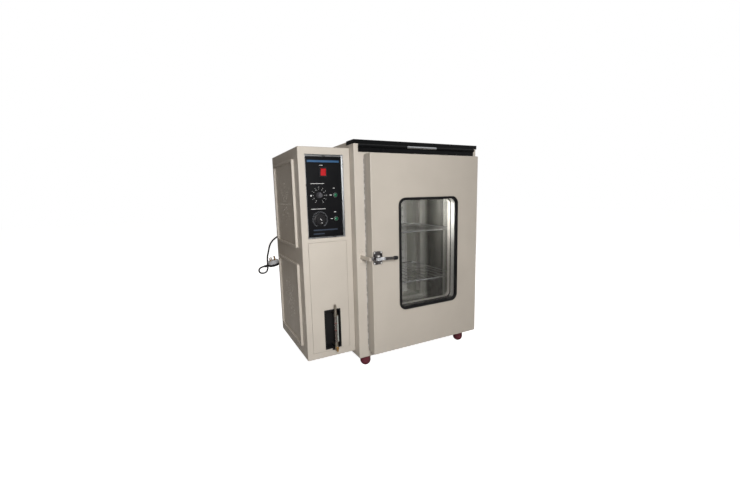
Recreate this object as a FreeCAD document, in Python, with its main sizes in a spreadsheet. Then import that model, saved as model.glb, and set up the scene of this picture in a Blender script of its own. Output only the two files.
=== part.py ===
import FreeCAD, Part
import math
import os
import Sketcher

V = FreeCAD.Vector
alongX, alongY, alongZ = V(1, 0, 0), V(0, 1, 0), V(0, 0, 1)

# Driving sizes in millimetres and degrees
sizes = {
    # Cabinet
    "cabinetWidth": 594, "casingHeight": 848, "sheet": 1.5, "foldRadius": 3,
    "chamberWidth": 455, "chamberHeight": 605, "chamberDepth": 455, "linerSheet": 1.2, "linerFlange": 14,
    "woolGap": 0.5, "woolBehind": 60, "behindChamber": 135, "backInset": 4,
    "capSheet": 2, "capSkirt": 15, "capDepth": 61, "capRadius": 1.5,
    "badgeWidth": 143, "badgeShift": 3, "badgeTall": 9.5, "badgeThick": 1.2,
    "fasciaInset": 17.5, "fasciaHeight": 30, "fasciaNose": 9, "fasciaSkin": 2.5, "fasciaFlat": 16,
    "footRadius": 21.5, "footHeight": 54, "footInset": 48, "footFlat": 7, "footDome": 24,
    # Chamber fittings
    "railWidth": 22, "railDepth": 8, "railHeight": 560, "railLift": 20, "railInset": 60, "railSlots": 16,
    "railPitch": 32, "railSlotWide": 10, "railSlotTall": 4,
    "wireRadius": 1.75, "frameWireRadius": 3, "shelfDepth": 380, "shelfWires": 12, "shelfPlay": 0.3,
    "shelfLow": 170, "shelfStep": 210,
    "baffleWidth": 405, "baffleStandOff": 48, "baffleLip": 2, "intakeRadius": 66, "intakeSlots": 16,
    "outletPitch": 46, "outletSlots": 12,
    "fanRadius": 68, "fanDepth": 26, "fanBlades": 12, "fanBackGap": 8, "hubRadius": 12, "shaftRadius": 4,
    "motorRadius": 42, "motorLength": 52, "runningGap": 0.05,
    "heaterRadius": 84, "heaterTube": 4,
    "pipeRadius": 11, "pipeWall": 1.2, "pipeBend": 30, "pipeGap": 0.4, "pipeReach": 18,
    # Door
    "doorLeft": 35, "doorWidth": 514, "doorLow": 32, "doorHeight": 765, "doorPan": 34, "doorThick": 52,
    "doorLap": 8, "gasketThick": 9.7, "gasketWide": 16, "gasketInset": 2.5, "sealGap": 0.3,
    "windowLeft": 117, "windowLow": 160, "windowWidth": 288, "windowHeight": 442, "windowRadius": 30,
    "windowBand": 10, "gasketProud": 3, "glassThick": 5, "innerGlassThick": 4, "glassBite": 6,
    # Hinges
    "hingeHeight": 84, "hingeInset": 92, "hingeOut": 10, "hingeBack": 31, "knuckleRadius": 7,
    "pinRadius": 4, "knuckleGap": 0.4, "leafThick": 3,
    # Latch
    "latchIn": 13, "latchHigh": 381, "plateWidth": 38, "plateHeight": 50, "plateLeft": 10,
    "plateThick": 3, "pivotProud": 24, "lugRadius": 9, "lugThick": 4, "hubGap": 0.4,
    "boltWide": 7.5, "boltTall": 12, "boltTip": 0.6, "boltGap": 0.2,
    "toeRadius": 17, "toeTip": 3, "toePlay": 0.6,
    "leverLength": 78, "leverTall": 12, "leverThick": 7, "leverRest": 10, "toeLean": 7.5,
    "gripRadius": 7.5, "gripLength": 18, "latchPinRadius": 3,
    "strikeLeft": 14, "strikeWide": 20, "strikeTall": 51, "strikeReach": 8, "strikeArm": 4,
    "strikeArmTall": 13,
    # Control box
    "boxWidth": 200, "boxDepth": 403, "boxHeight": 803, "boxSetBack": 39, "boxRaise": 20,
    "panelLeft": 25, "panelDrop": 26, "panelWidth": 148, "panelHeight": 306, "panelSet": 13, "panelThick": 2,
    "panelMargin": 6, "bezelThick": 4, "bezelTop": 6, "bezelSide": 4, "bezelGap": 0.5, "bezelLip": 1.5,
    "serviceLeft": 23, "serviceLow": 25, "serviceWidth": 153, "serviceBelow": 15, "serviceGap": 0.8,
    "serviceRim": 12, "serviceLedge": 6,
    "ventFront": 54, "ventBack": 45, "ventLow": 42, "ventBetween": 62, "ventDrop": 39, "coverProud": 9,
    "coverRim": 9, "coverRadius": 14, "ventHole": 2.6, "ventPitch": 16.5, "ventRings": 5, "ventArms": 8,
    "axleRadius": 1.5, "screwLow": 36, "screwHigh": 160, "screwInset": 9, "screwRadius": 3,
    "switchX": 97, "switchDrop": 88, "rockerWide": 20, "rockerTall": 25, "rockerTilt": 8, "switchRim": 4,
    "dialX": 78, "lampX": 142, "upperDrop": 173, "lowerDrop": 262,
    "smallKnob": 11, "smallKnobDeep": 16, "bigKnob": 23, "bigKnobDeep": 9, "stemRadius": 3,
    "lampRadius": 9.5, "lensRadius": 7, "lampProud": 5,
    "gaugeLeft": 75, "gaugeLow": 34, "gaugeWide": 62, "gaugeTall": 154, "gaugeEdge": 5, "gaugeDeep": 30,
    "tubeX": 114, "tubeOut": 11, "tubeRadius": 5, "tubeWall": 1.2, "tubeLow": 54, "tubeTall": 117,
    "socketTall": 12, "stubRadius": 4.9, "ventTubeTall": 26, "ventTubeRadius": 5,
    "scaleWide": 5, "scaleThick": 1.2, "scaleBite": 0.7,
    "tankFront": 40, "tankWide": 160, "tankDeep": 250, "tankTall": 290, "tankLow": 1.5, "tankSheet": 2,
    "cockRadius": 7, "cockLever": 20, "cockDrop": 16.8,
    # Cord
    "cordRadius": 3.75, "coilRadius": 41, "coilX": -110, "coilOut": 14, "coilWide": 16, "coilThick": 24,
    "plugX": -218, "plugY": 470, "plugZ": 337, "plugLean": 12, "plugTurn": 30, "plugRadius": 25,
    "plugThick": 16, "bootLength": 22, "bootEntry": 4,
    "hookRadius": 4, "hookReach": 30, "glandX": -62, "glandZ": 530, "coilZ": 435, "glandRadius": 9,
    "glandLength": 22,
}


class Size:
    # A number together with the sheet formula that gives it
    def __init__(self, number, formula):
        self.number = float(number)
        self.formula = formula

    def __float__(self):
        return self.number

    def __add__(self, other):
        return Size(self.number + float(other), f"({self.formula} + {formulaOf(other)})")

    def __radd__(self, other):
        return Size(float(other) + self.number, f"({formulaOf(other)} + {self.formula})")

    def __sub__(self, other):
        return Size(self.number - float(other), f"({self.formula} - {formulaOf(other)})")

    def __rsub__(self, other):
        return Size(float(other) - self.number, f"({formulaOf(other)} - {self.formula})")

    def __mul__(self, other):
        return Size(self.number * float(other), f"({self.formula} * {formulaOf(other)})")

    def __rmul__(self, other):
        return Size(float(other) * self.number, f"({formulaOf(other)} * {self.formula})")

    def __truediv__(self, other):
        return Size(self.number / float(other), f"({self.formula} / {formulaOf(other)})")

    def __neg__(self):
        return Size(-self.number, f"(0 - {self.formula})")


def formulaOf(value):
    return value.formula if isinstance(value, Size) else f"({float(value)})"


def sine(angle):
    return Size(math.sin(math.radians(float(angle))), f"sin({formulaOf(angle)})")


class Named:
    # One attribute for each cell of the sheet
    pass


doc = FreeCAD.newDocument("HumidityChamber")
sheet = doc.addObject("Spreadsheet::Sheet", "Sizes")
s = Named()
for row, (alias, number) in enumerate(sizes.items(), start=1):
    sheet.set(f"A{row}", alias)
    sheet.set(f"B{row}", str(number))
    sheet.setAlias(f"B{row}", alias)
    setattr(s, alias, Size(number, f"Sizes.{alias}"))
doc.recompute()

# Sizes that follow from others wherever the part changes
s.cabinetDepth = s.chamberDepth + s.behindChamber
s.panelLow = s.boxHeight - s.panelDrop - s.panelHeight
s.switchZ = s.boxHeight - s.switchDrop
s.upperRow = s.boxHeight - s.upperDrop
s.lowerRow = s.boxHeight - s.lowerDrop
s.serviceHeight = s.panelLow - s.serviceBelow - s.serviceLow
s.ventTall = (s.boxHeight - s.ventLow - s.ventBetween - s.ventDrop) / 2
s.ventHigh = s.ventLow + s.ventTall + s.ventBetween
s.ventDeep = s.boxDepth - s.ventFront - s.ventBack

nodes = []

# Reference points: the cabinet's, control box's, chamber's, door's and latch's own corners
cabinet = ((s.boxWidth + s.coverProud - s.cabinetWidth - s.capSheet) / 2,
           (s.doorThick + s.gasketThick + s.sealGap + s.pivotProud
            + (s.leverLength - s.gripRadius) * sine(s.leverRest) + s.gripRadius - s.cabinetDepth) / 2,
           s.footHeight + 0)


def offset(base, x=0, y=0, z=0):
    return (base[0] + x, base[1] + y, base[2] + z)


doorProud = s.doorThick + s.gasketThick + s.sealGap
box = offset(cabinet, -s.boxWidth, s.boxSetBack, s.boxRaise)
door = offset(cabinet, s.doorLeft, -doorProud, s.doorLow)
chamber = offset(cabinet, s.doorLeft + (s.doorWidth - s.chamberWidth) / 2, s.sheet,
                 s.doorLow + (s.doorHeight - s.chamberHeight) / 2)
latch = offset(door, s.latchIn, 0, s.latchHigh)
fanAxis = offset(chamber, s.chamberWidth / 2, s.chamberDepth, s.chamberHeight * 0.62)


# Building blocks

def bind(thing, path, value):
    thing.setExpression(path, formulaOf(value))


def place(thing, at):
    for letter, value in zip("xyz", at):
        bind(thing, f"Placement.Base.{letter}", value)
    return thing


def keep(thing, label):
    thing.Label = label
    nodes.append(thing)
    return thing


def block(name, at, extent):
    thing = doc.addObject("Part::Box", name)
    for side, value in zip(("Length", "Width", "Height"), extent):
        bind(thing, side, value)
    return place(thing, at)


def rod(name, at, axis, radius, length):
    thing = doc.addObject("Part::Cylinder", name)
    bind(thing, "Radius", radius)
    bind(thing, "Height", length)
    thing.Placement.Rotation = FreeCAD.Rotation(alongZ, axis)
    return place(thing, at)


def fused(name, parts):
    thing = doc.addObject("Part::MultiFuse", name)
    thing.Shapes = parts
    return thing


def less(name, base, tools):
    thing = doc.addObject("Part::Cut", name)
    thing.Base = base
    thing.Tool = tools[0] if len(tools) == 1 else fused(name + "Tools", tools)
    return thing


def together(name, parts):
    thing = doc.addObject("Part::Compound", name)
    thing.Links = parts
    return thing


def newBody(name, at):
    return place(doc.addObject("PartDesign::Body", name), at)


def originPart(body, role):
    return [part for part in body.Origin.OriginFeatures if part.Role == role][0]


def sketchOn(body, plane, out=0):
    sketch = body.newObject("Sketcher::SketchObject", body.Name + "Sketch")
    sketch.AttachmentSupport = (originPart(body, plane), [""])
    sketch.MapMode = "FlatFace"
    bind(sketch, "AttachmentOffset.Base.z", out)
    return sketch


def hold(sketch, kind, where, value):
    index = sketch.addConstraint(Sketcher.Constraint(kind, *where, float(value)))
    sketch.setExpression(f"Constraints[{index}]", formulaOf(value))


def pin(sketch, piece, point, x, y):
    hold(sketch, "DistanceX", (-1, 1, piece, point), x)
    hold(sketch, "DistanceY", (-1, 1, piece, point), y)


def outline(sketch, corners):
    # Each corner is (x, y), or (x, y, radius, midX, midY) when an arc leads on from it
    first = sketch.GeometryCount
    count = len(corners)
    spots = [V(float(c[0]), float(c[1]), 0) for c in corners]
    for i, corner in enumerate(corners):
        ahead = spots[(i + 1) % count]
        if len(corner) > 2:
            middle = V(float(corner[3]), float(corner[4]), 0)
            arc = Part.Arc(spots[i], middle, ahead)
            sketch.addGeometry(arc.toShape().Curve.trim(*arc.toShape().ParameterRange))
        else:
            sketch.addGeometry(Part.LineSegment(spots[i], ahead))
    ends = [endPoints(sketch, first + i, spots[i]) for i in range(count)]
    for i in range(count):
        follow = (i + 1) % count
        sketch.addConstraint(Sketcher.Constraint("Coincident", first + i, ends[i][1],
                                                 first + follow, ends[follow][0]))
    for i, corner in enumerate(corners):
        pin(sketch, first + i, ends[i][0], corner[0], corner[1])
        if len(corner) > 2:
            across = spots[(i + 1) % count] - spots[i]
            if across.Length < 1.999 * float(corner[2]):
                hold(sketch, "Radius", (first + i,), corner[2])
            elif abs(across.x) > abs(across.y):
                hold(sketch, "DistanceY", (-1, 1, first + i, 3), corner[1])
            else:
                hold(sketch, "DistanceX", (-1, 1, first + i, 3), corner[0])
    return sketch


def endPoints(sketch, piece, start):
    # The numbers of a curve's first and last point, in the outline's direction
    straight = (sketch.getPoint(piece, 1) - start).Length <= (sketch.getPoint(piece, 2) - start).Length
    return (1, 2) if straight else (2, 1)


def rectangle(sketch, x, y, wide, tall):
    return outline(sketch, [(x, y), (x + wide, y), (x + wide, y + tall), (x, y + tall)])


def circle(sketch, x, y, radius):
    piece = sketch.addGeometry(Part.Circle(V(float(x), float(y), 0), alongZ, float(radius)))
    hold(sketch, "Radius", (piece,), radius)
    pin(sketch, piece, 3, x, y)
    return sketch


def roundedRectangle(sketch, x, y, wide, tall, radius):
    # Four sides and four quarter arcs, tangent where they meet
    a, b, r = x + wide, y + tall, float(radius)
    x0, y0, x1, y1 = float(x), float(y), float(a), float(b)
    lines = [((x0 + r, y0), (x1 - r, y0)), ((x1, y0 + r), (x1, y1 - r)),
             ((x1 - r, y1), (x0 + r, y1)), ((x0, y1 - r), (x0, y0 + r))]
    arcs = [((x1 - r, y0 + r), 270), ((x1 - r, y1 - r), 0), ((x0 + r, y1 - r), 90), ((x0 + r, y0 + r), 180)]
    first = sketch.GeometryCount
    for start, end in lines:
        sketch.addGeometry(Part.LineSegment(V(*start, 0), V(*end, 0)))
    for centre, start in arcs:
        ring = Part.Circle(V(*centre, 0), alongZ, r)
        sketch.addGeometry(Part.ArcOfCircle(ring, math.radians(start), math.radians(start + 90)))
    for i in range(4):
        arc = first + 4 + i
        sketch.addConstraint(Sketcher.Constraint("Tangent", first + i, 2, arc, 1))
        sketch.addConstraint(Sketcher.Constraint("Tangent", arc, 2, first + (i + 1) % 4, 1))
        level = "Horizontal" if i % 2 == 0 else "Vertical"
        sketch.addConstraint(Sketcher.Constraint(level, first + i))
    for i in range(1, 4):
        sketch.addConstraint(Sketcher.Constraint("Equal", first + 4, first + 4 + i))
    hold(sketch, "Radius", (first + 4,), radius)
    hold(sketch, "DistanceY", (-1, 1, first, 1), y)
    hold(sketch, "DistanceX", (-1, 1, first + 1, 1), a)
    hold(sketch, "DistanceY", (-1, 1, first + 2, 1), b)
    hold(sketch, "DistanceX", (-1, 1, first + 3, 1), x)
    return sketch


def pad(body, sketch, depth, back=False, middle=False):
    feature = body.newObject("PartDesign::Pad", body.Name + "Pad")
    feature.Profile = sketch
    bind(feature, "Length", depth)
    feature.Reversed = back
    feature.Midplane = middle
    doc.recompute()
    return feature


def pocket(body, sketch, depth=None, middle=False):
    # Cuts to a depth, or right through, on the side where there is material
    before = body.Shape.Volume
    feature = body.newObject("PartDesign::Pocket", body.Name + "Pocket")
    feature.Profile = sketch
    if depth is None:
        feature.Type = "ThroughAll"
    else:
        bind(feature, "Length", depth)
    feature.Midplane = middle
    doc.recompute()
    if body.Shape.Volume > before - 0.01:
        feature.Reversed = True
        doc.recompute()
    assert body.Shape.Volume < before - 0.01, body.Label + ": a pocket cuts nothing"
    return feature


def turned(body, sketch, axis):
    feature = body.newObject("PartDesign::Revolution", body.Name + "Turned")
    feature.Profile = sketch
    feature.ReferenceAxis = (originPart(body, axis), [""])
    feature.Angle = 360
    doc.recompute()
    return feature


def grooved(body, sketch, axis):
    feature = body.newObject("PartDesign::Groove", body.Name + "Groove")
    feature.Profile = sketch
    feature.ReferenceAxis = (originPart(body, axis), [""])
    feature.Angle = 360
    doc.recompute()
    return feature


def rounded(body, radius, choose):
    return dressed(body, "PartDesign::Fillet", "Radius", radius, choose)


def bevelled(body, size, choose):
    return dressed(body, "PartDesign::Chamfer", "Size", size, choose)


def dressed(body, kind, path, value, choose):
    base = body.Tip
    edges = [f"Edge{i + 1}" for i, edge in enumerate(base.Shape.Edges) if choose(edge)]
    assert edges, body.Label + ": no edge to dress"
    feature = body.newObject(kind, body.Name + "Dressed")
    feature.Base = (base, edges)
    bind(feature, path, value)
    doc.recompute()
    return feature


def inRow(body, feature, axis, step, count):
    pattern = body.newObject("PartDesign::LinearPattern", body.Name + "Row")
    pattern.Originals = [feature]
    pattern.Direction = (originPart(body, axis), [""])
    bind(pattern, "Length", step * (count - 1))
    bind(pattern, "Occurrences", count)
    body.Tip = pattern
    doc.recompute()
    return pattern


def inRing(body, features, axis, count):
    pattern = body.newObject("PartDesign::PolarPattern", body.Name + "Ring")
    pattern.Originals = features
    pattern.Axis = (originPart(body, axis), [""])
    pattern.Angle = 360
    bind(pattern, "Occurrences", count)
    body.Tip = pattern
    doc.recompute()
    return pattern


# Ways to choose edges, in a body's own frame

def mostlyAlong(axis, least=0.9):
    def choose(edge):
        if len(edge.Vertexes) != 2:
            return False
        across = edge.Vertexes[1].Point - edge.Vertexes[0].Point
        return across.Length > 0.01 and abs(across.normalize().dot(axis)) > least
    return choose


def runsAlong(axis):
    return mostlyAlong(axis, 0.999)


def liesAt(axis, level):
    def choose(edge):
        return all(abs(spot.Point.dot(axis) - float(level)) < 0.01 for spot in edge.Vertexes)
    return choose


def bothOf(*rules):
    return lambda edge: all(rule(edge) for rule in rules)


def longerThan(length):
    return lambda edge: edge.Length > float(length)


# Cabinet

def outerCasing():
    body = newBody("outer_casing", cabinet)
    front = rectangle(sketchOn(body, "XZ_Plane"), 0, 0, s.cabinetWidth, s.casingHeight)
    pad(body, front, s.cabinetDepth, True)
    rounded(body, s.foldRadius, runsAlong(alongY))
    rounded(body, s.foldRadius, liesAt(alongY, 0))
    inside = sketchOn(body, "XZ_Plane", -s.cabinetDepth)
    rectangle(inside, s.sheet, s.sheet, s.cabinetWidth - 2 * s.sheet, s.casingHeight - 2 * s.sheet)
    pocket(body, inside, s.cabinetDepth - s.sheet)
    mouth = sketchOn(body, "XZ_Plane")
    rectangle(mouth, chamber[0] - cabinet[0], chamber[2] - cabinet[2], s.chamberWidth, s.chamberHeight)
    pocket(body, mouth, s.sheet * 2)
    pipe = sketchOn(body, "YZ_Plane")
    circle(pipe, pipeY - cabinet[1], pipeZ - cabinet[2], s.pipeRadius + s.pipeGap)
    pocket(body, pipe, s.sheet * 2)
    return keep(body, "outer_casing")


def backPanel():
    body = newBody("back_panel", offset(cabinet, s.sheet, s.cabinetDepth - s.backInset, s.sheet))
    wide = s.cabinetWidth - 2 * s.sheet
    tall = s.casingHeight - 2 * s.sheet
    pad(body, rectangle(sketchOn(body, "XZ_Plane"), 0, 0, wide, tall), s.sheet)
    rim = sketchOn(body, "XZ_Plane")
    rectangle(rim, 0, 0, wide, tall)
    rectangle(rim, s.sheet, s.sheet, wide - 2 * s.sheet, tall - 2 * s.sheet)
    pad(body, rim, s.backInset * 5)
    return keep(body, "back_panel")


def innerLiner():
    body = newBody("inner_liner", chamber)
    wall, wide, tall = s.linerSheet, s.chamberWidth, s.chamberHeight
    pad(body, rectangle(sketchOn(body, "XZ_Plane"), -wall, -wall, wide + 2 * wall, tall + 2 * wall),
        s.chamberDepth + wall, True)
    flange = rectangle(sketchOn(body, "XZ_Plane"), -s.linerFlange, -s.linerFlange,
                       wide + 2 * s.linerFlange, tall + 2 * s.linerFlange)
    pad(body, flange, wall, True)
    pocket(body, rectangle(sketchOn(body, "XZ_Plane"), 0, 0, wide, tall), s.chamberDepth)
    shaft = sketchOn(body, "XZ_Plane", -s.chamberDepth)
    circle(shaft, fanAxis[0] - chamber[0], fanAxis[2] - chamber[2], s.shaftRadius * 2)
    for side in (-1, 1):
        circle(shaft, fanAxis[0] - chamber[0] + side * s.heaterRadius, fanAxis[2] - chamber[2],
               s.heaterTube * 0.8 + s.pipeGap)
    pocket(body, shaft, wall * 2)
    pipe = sketchOn(body, "YZ_Plane", -wall)
    circle(pipe, pipeY - chamber[1], pipeZ - chamber[2], s.pipeRadius + s.pipeGap)
    pocket(body, pipe, wall * 2)
    return keep(body, "inner_liner")


def insulation():
    gap, wall = s.woolGap, s.linerSheet
    front = s.sheet + wall + gap
    whole = block("woolBlock", offset(cabinet, s.sheet + gap, front, s.sheet + gap),
                  (s.cabinetWidth - 2 * (s.sheet + gap), s.chamberDepth + s.woolBehind,
                   s.casingHeight - 2 * (s.sheet + gap)))
    core = block("woolCore", offset(chamber, -wall - gap, -s.sheet, -wall - gap),
                 (s.chamberWidth + 2 * (wall + gap), s.chamberDepth + wall + gap + s.sheet,
                  s.chamberHeight + 2 * (wall + gap)))
    shaft = rod("woolShaft", offset(fanAxis, 0, -1, 0), alongY, s.shaftRadius * 3, s.woolBehind * 2)
    legs = [rod(f"woolLeg{i}", offset(fanAxis, side * s.heaterRadius, -1, 0), alongY, s.heaterTube * 2,
                s.woolBehind * 2) for i, side in enumerate((-1, 1))]
    pipe = rod("woolPipe", (cabinet[0], pipeY, pipeZ), alongX, s.pipeRadius + 1, s.chamberWidth / 2)
    return keep(less("insulation", whole, [core, shaft, pipe] + legs), "insulation")


def topCap():
    # A shallow tray turned over the casing's front top edge, open at the back
    wall = s.capSheet
    body = newBody("top_cap", offset(cabinet, -wall, -wall, s.casingHeight + wall - s.capSkirt))
    deep = s.capDepth + wall
    pad(body, rectangle(sketchOn(body, "XY_Plane"), 0, 0, s.cabinetWidth + 2 * wall, deep), s.capSkirt)
    rounded(body, s.capRadius, liesAt(alongZ, s.capSkirt))
    hollow = sketchOn(body, "XY_Plane")
    rectangle(hollow, wall, wall, s.cabinetWidth, deep)
    pocket(body, hollow, s.capSkirt - wall)
    return keep(body, "top_cap")


def fascia():
    body = newBody("fascia", fasciaCorner)
    profile = [(0, 0), (-s.fasciaSkin, 0),
               (-s.fasciaSkin, s.fasciaFlat, noseRadius, -s.fasciaNose, s.fasciaFlat + noseBulge),
               (-s.fasciaSkin, s.fasciaHeight), (0, s.fasciaHeight)]
    pad(body, outline(sketchOn(body, "YZ_Plane"), profile), s.cabinetWidth - 2 * s.fasciaInset)
    return keep(body, "fascia")


def badgePlate():
    # A bare strip with round ends, bent to the nose of the fascia
    middle = s.fasciaFlat + (s.fasciaHeight - s.fasciaFlat) / 2
    body = newBody("badgeStrip", offset(fasciaCorner, s.cabinetWidth / 2 - s.fasciaInset - s.badgeWidth / 2
                                         + s.badgeShift, -s.fasciaNose, middle))
    half = s.badgeTall / 2
    sag = half * half / (2 * noseRadius)
    rim = noseRadius + s.badgeThick
    profile = [(sag, -half, noseRadius, 0, 0), (sag, half), (sag - s.badgeThick, half, rim, -s.badgeThick, 0),
               (sag - s.badgeThick, -half)]
    pad(body, outline(sketchOn(body, "YZ_Plane"), profile), s.badgeWidth)
    ends = newBody("badgeEnds", offset(fasciaCorner, s.cabinetWidth / 2 - s.fasciaInset - s.badgeWidth / 2
                                       + s.badgeShift, 0, middle))
    shape = roundedRectangle(sketchOn(ends, "XZ_Plane"), 0, -half, s.badgeWidth, s.badgeTall, half * 0.95)
    pad(ends, shape, s.fasciaNose * 2)
    strip = doc.addObject("Part::Common", "badge_plate")
    strip.Base = body
    strip.Tool = ends
    return keep(strip, "badge_plate")


def feet():
    spots = [(x, y) for x in (s.footInset, s.cabinetWidth - s.footInset)
             for y in (s.footInset, s.cabinetDepth - s.footInset)]
    ready = []
    for i, (x, y) in enumerate(spots, start=1):
        body = newBody(f"foot{i}", offset(cabinet, x, y, -s.footHeight))
        bow = (s.footRadius - s.footFlat) * 0.72 + s.footFlat
        arcRadius = s.footDome * 0.9
        profile = [(0, 0), (s.footFlat, 0, arcRadius, bow, s.footDome * 0.27),
                   (s.footRadius, s.footDome), (s.footRadius, s.footHeight), (0, s.footHeight)]
        turned(body, outline(sketchOn(body, "XZ_Plane"), profile), "Z_Axis")
        ready.append(body)
    return keep(together("feet", ready), "feet")


# Chamber fittings

def shelfRails():
    ready = []
    for side, wallX in (("Left", 0), ("Right", s.chamberWidth - s.railDepth)):
        for end, y in (("Front", s.railInset), ("Rear", s.shelfDepth - s.railInset)):
            body = newBody("rail" + side + end, offset(chamber, wallX, y, s.railLift))
            pad(body, rectangle(sketchOn(body, "XY_Plane"), 0, 0, s.railDepth, s.railWidth), s.railHeight)
            slot = sketchOn(body, "YZ_Plane")
            rectangle(slot, (s.railWidth - s.railSlotWide) / 2, s.railPitch, s.railSlotWide, s.railSlotTall)
            inRow(body, pocket(body, slot), "Z_Axis", s.railPitch, s.railSlots)
            ready.append(body)
    return keep(together("shelf_rails", ready), "shelf_rails")


def wireShelf(name, level):
    wide = s.chamberWidth - 2 * (s.railDepth + s.shelfPlay)
    corner = offset(chamber, s.railDepth + s.shelfPlay + s.frameWireRadius, s.frameWireRadius * 2, level)
    across = wide - 2 * s.frameWireRadius
    deep = s.shelfDepth - 2 * s.frameWireRadius
    parts = []
    for i, y in enumerate((0, deep)):
        parts.append(rod(f"{name}Cross{i}", offset(corner, 0, y, 0), alongX, s.frameWireRadius, across))
    for i, x in enumerate((0, across)):
        parts.append(rod(f"{name}Side{i}", offset(corner, x, 0, 0), alongY, s.frameWireRadius, deep))
        for j, y in enumerate((0, deep)):
            parts.append(knuckle(f"{name}Corner{i}{j}", offset(corner, x, y, 0), s.frameWireRadius))
    for i in range(1, sizes["shelfWires"]):
        parts.append(rod(f"{name}Wire{i}", offset(corner, across * i / s.shelfWires, 0, s.wireRadius),
                         alongY, s.wireRadius, deep))
    return fused(name, parts)


def knuckle(name, at, radius):
    ball = doc.addObject("Part::Sphere", name)
    bind(ball, "Radius", radius)
    return place(ball, at)


def shelves():
    for name, level in (("shelf_lower", s.shelfLow), ("shelf_upper", s.shelfLow + s.shelfStep)):
        keep(wireShelf(name, level), name)


def airBaffle():
    # The chamber's false back wall: slots round the fan draw air in, rows of slots at the sides give it back
    low = fanAxis[2] - chamber[2] - s.baffleLip
    high = s.chamberHeight - 2 * s.baffleLip
    wide = s.baffleWidth
    body = newBody("air_baffle", offset(fanAxis, 0, -s.baffleStandOff, 0))
    pad(body, rectangle(sketchOn(body, "XZ_Plane"), -wide / 2, -low, wide, high), s.baffleStandOff, True)
    hollow = sketchOn(body, "XZ_Plane", -s.baffleStandOff)
    wall = s.linerSheet
    rectangle(hollow, wall - wide / 2, wall - low, wide - 2 * wall, high - 2 * wall)
    pocket(body, hollow, s.baffleStandOff - wall)
    slot = sketchOn(body, "XZ_Plane")
    roundedRectangle(slot, s.intakeRadius * 0.35, -3, s.intakeRadius * 0.6, 6, 2.9)
    inRing(body, [pocket(body, slot, wall * 2)], "Y_Axis", s.intakeSlots)
    for side in (-1, 1):
        outlet = sketchOn(body, "XZ_Plane")
        middle = side * wide * 0.38
        rectangle(outlet, middle - wide * 0.07, s.outletPitch - low, wide * 0.14, 6)
        inRow(body, pocket(body, outlet, wall * 2), "Z_Axis", s.outletPitch, s.outletSlots)
    return keep(body, "air_baffle")


def fanWheel():
    body = newBody("fan_wheel", offset(fanAxis, 0, -s.fanBackGap, 0))
    disc = circle(sketchOn(body, "XZ_Plane"), 0, 0, s.fanRadius)
    pad(body, disc, s.linerSheet)
    hub = circle(sketchOn(body, "XZ_Plane"), 0, 0, s.hubRadius)
    pad(body, hub, s.fanDepth)
    blade = sketchOn(body, "XZ_Plane")
    inner, outer, thick = s.fanRadius * 0.55, s.fanRadius - 3, s.linerSheet
    sweep = s.fanRadius * 0.18
    outline(blade, [(inner, 0), (outer, sweep), (outer, sweep + thick), (inner, thick)])
    vane = pad(body, blade, s.fanDepth)
    inRing(body, [vane], "Y_Axis", s.fanBlades)
    shaft = circle(sketchOn(body, "XZ_Plane"), 0, 0, s.shaftRadius)
    pad(body, shaft, motorFace - fanAxis[1] + s.fanBackGap + s.motorLength * 0.4, True)
    return keep(body, "fan_wheel")


def fanMotor():
    body = newBody("fan_motor", (fanAxis[0], motorFace, fanAxis[2]))
    pad(body, circle(sketchOn(body, "XZ_Plane"), 0, 0, s.motorRadius), s.motorLength, True)
    foot = sketchOn(body, "XZ_Plane", -s.motorLength)
    half = s.motorRadius * 1.25
    roundedRectangle(foot, -half, -half, half * 2, half * 2, s.motorRadius * 0.3)
    pad(body, foot, s.sheet * 2, True)
    groove = sketchOn(body, "YZ_Plane")
    for i in range(1, 4):
        start = s.motorLength * 0.18 * i
        rectangle(groove, start, s.motorRadius * 0.9, s.motorLength * 0.07, s.motorRadius * 0.2)
    grooved(body, groove, "Y_Axis")
    bore = circle(sketchOn(body, "XZ_Plane"), 0, 0, s.shaftRadius + s.runningGap)
    pocket(body, bore, s.motorLength * 0.6)
    return keep(body, "fan_motor")


def heaterRing():
    at = offset(fanAxis, 0, -s.fanBackGap - s.fanDepth / 2, 0)
    ring = doc.addObject("Part::Torus", "heaterLoop")
    bind(ring, "Radius1", s.heaterRadius)
    bind(ring, "Radius2", s.heaterTube)
    ring.Placement.Rotation = FreeCAD.Rotation(alongZ, alongY)
    place(ring, at)
    legs = [rod(f"heaterLeg{i}", offset(at, side * s.heaterRadius, 0, 0), alongY, s.heaterTube * 0.8,
                s.fanBackGap + s.fanDepth / 2 + s.woolBehind * 0.8) for i, side in enumerate((-1, 1))]
    legs += [rod(f"heaterCollar{i}", offset(fanAxis, side * s.heaterRadius, -s.sheet, 0), alongY,
                 s.heaterTube * 2, s.sheet) for i, side in enumerate((-1, 1))]
    return keep(fused("heater_ring", [ring] + legs), "heater_ring")


def steamRoute():
    # From the tank's lid up, round one bend and through both side walls into the chamber
    x, y, top, level = (float(value) for value in (pipeX, pipeY, tankTop - s.tankSheet, pipeZ))
    bend = float(s.pipeBend)
    up = Part.LineSegment(V(x, y, top), V(x, y, level - bend)).toShape()
    along = Part.LineSegment(V(x + bend, y, level), V(float(chamber[0] + s.pipeReach), y, level)).toShape()
    return Part.Wire([up, bendArc(), along])


def steamPipe(name, radius):
    thing = doc.addObject("Part::Feature", name)
    thing.Shape = tubeAlong(steamRoute(), float(radius))
    return thing


def bendArc():
    bend = float(s.pipeBend)
    corner = V(float(pipeX) + bend, float(pipeY), float(pipeZ) - bend)
    middle = corner + V(-bend * math.sqrt(0.5), 0, bend * math.sqrt(0.5))
    return Part.Arc(corner + V(-bend, 0, 0), middle, corner + V(0, 0, bend)).toShape()


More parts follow.
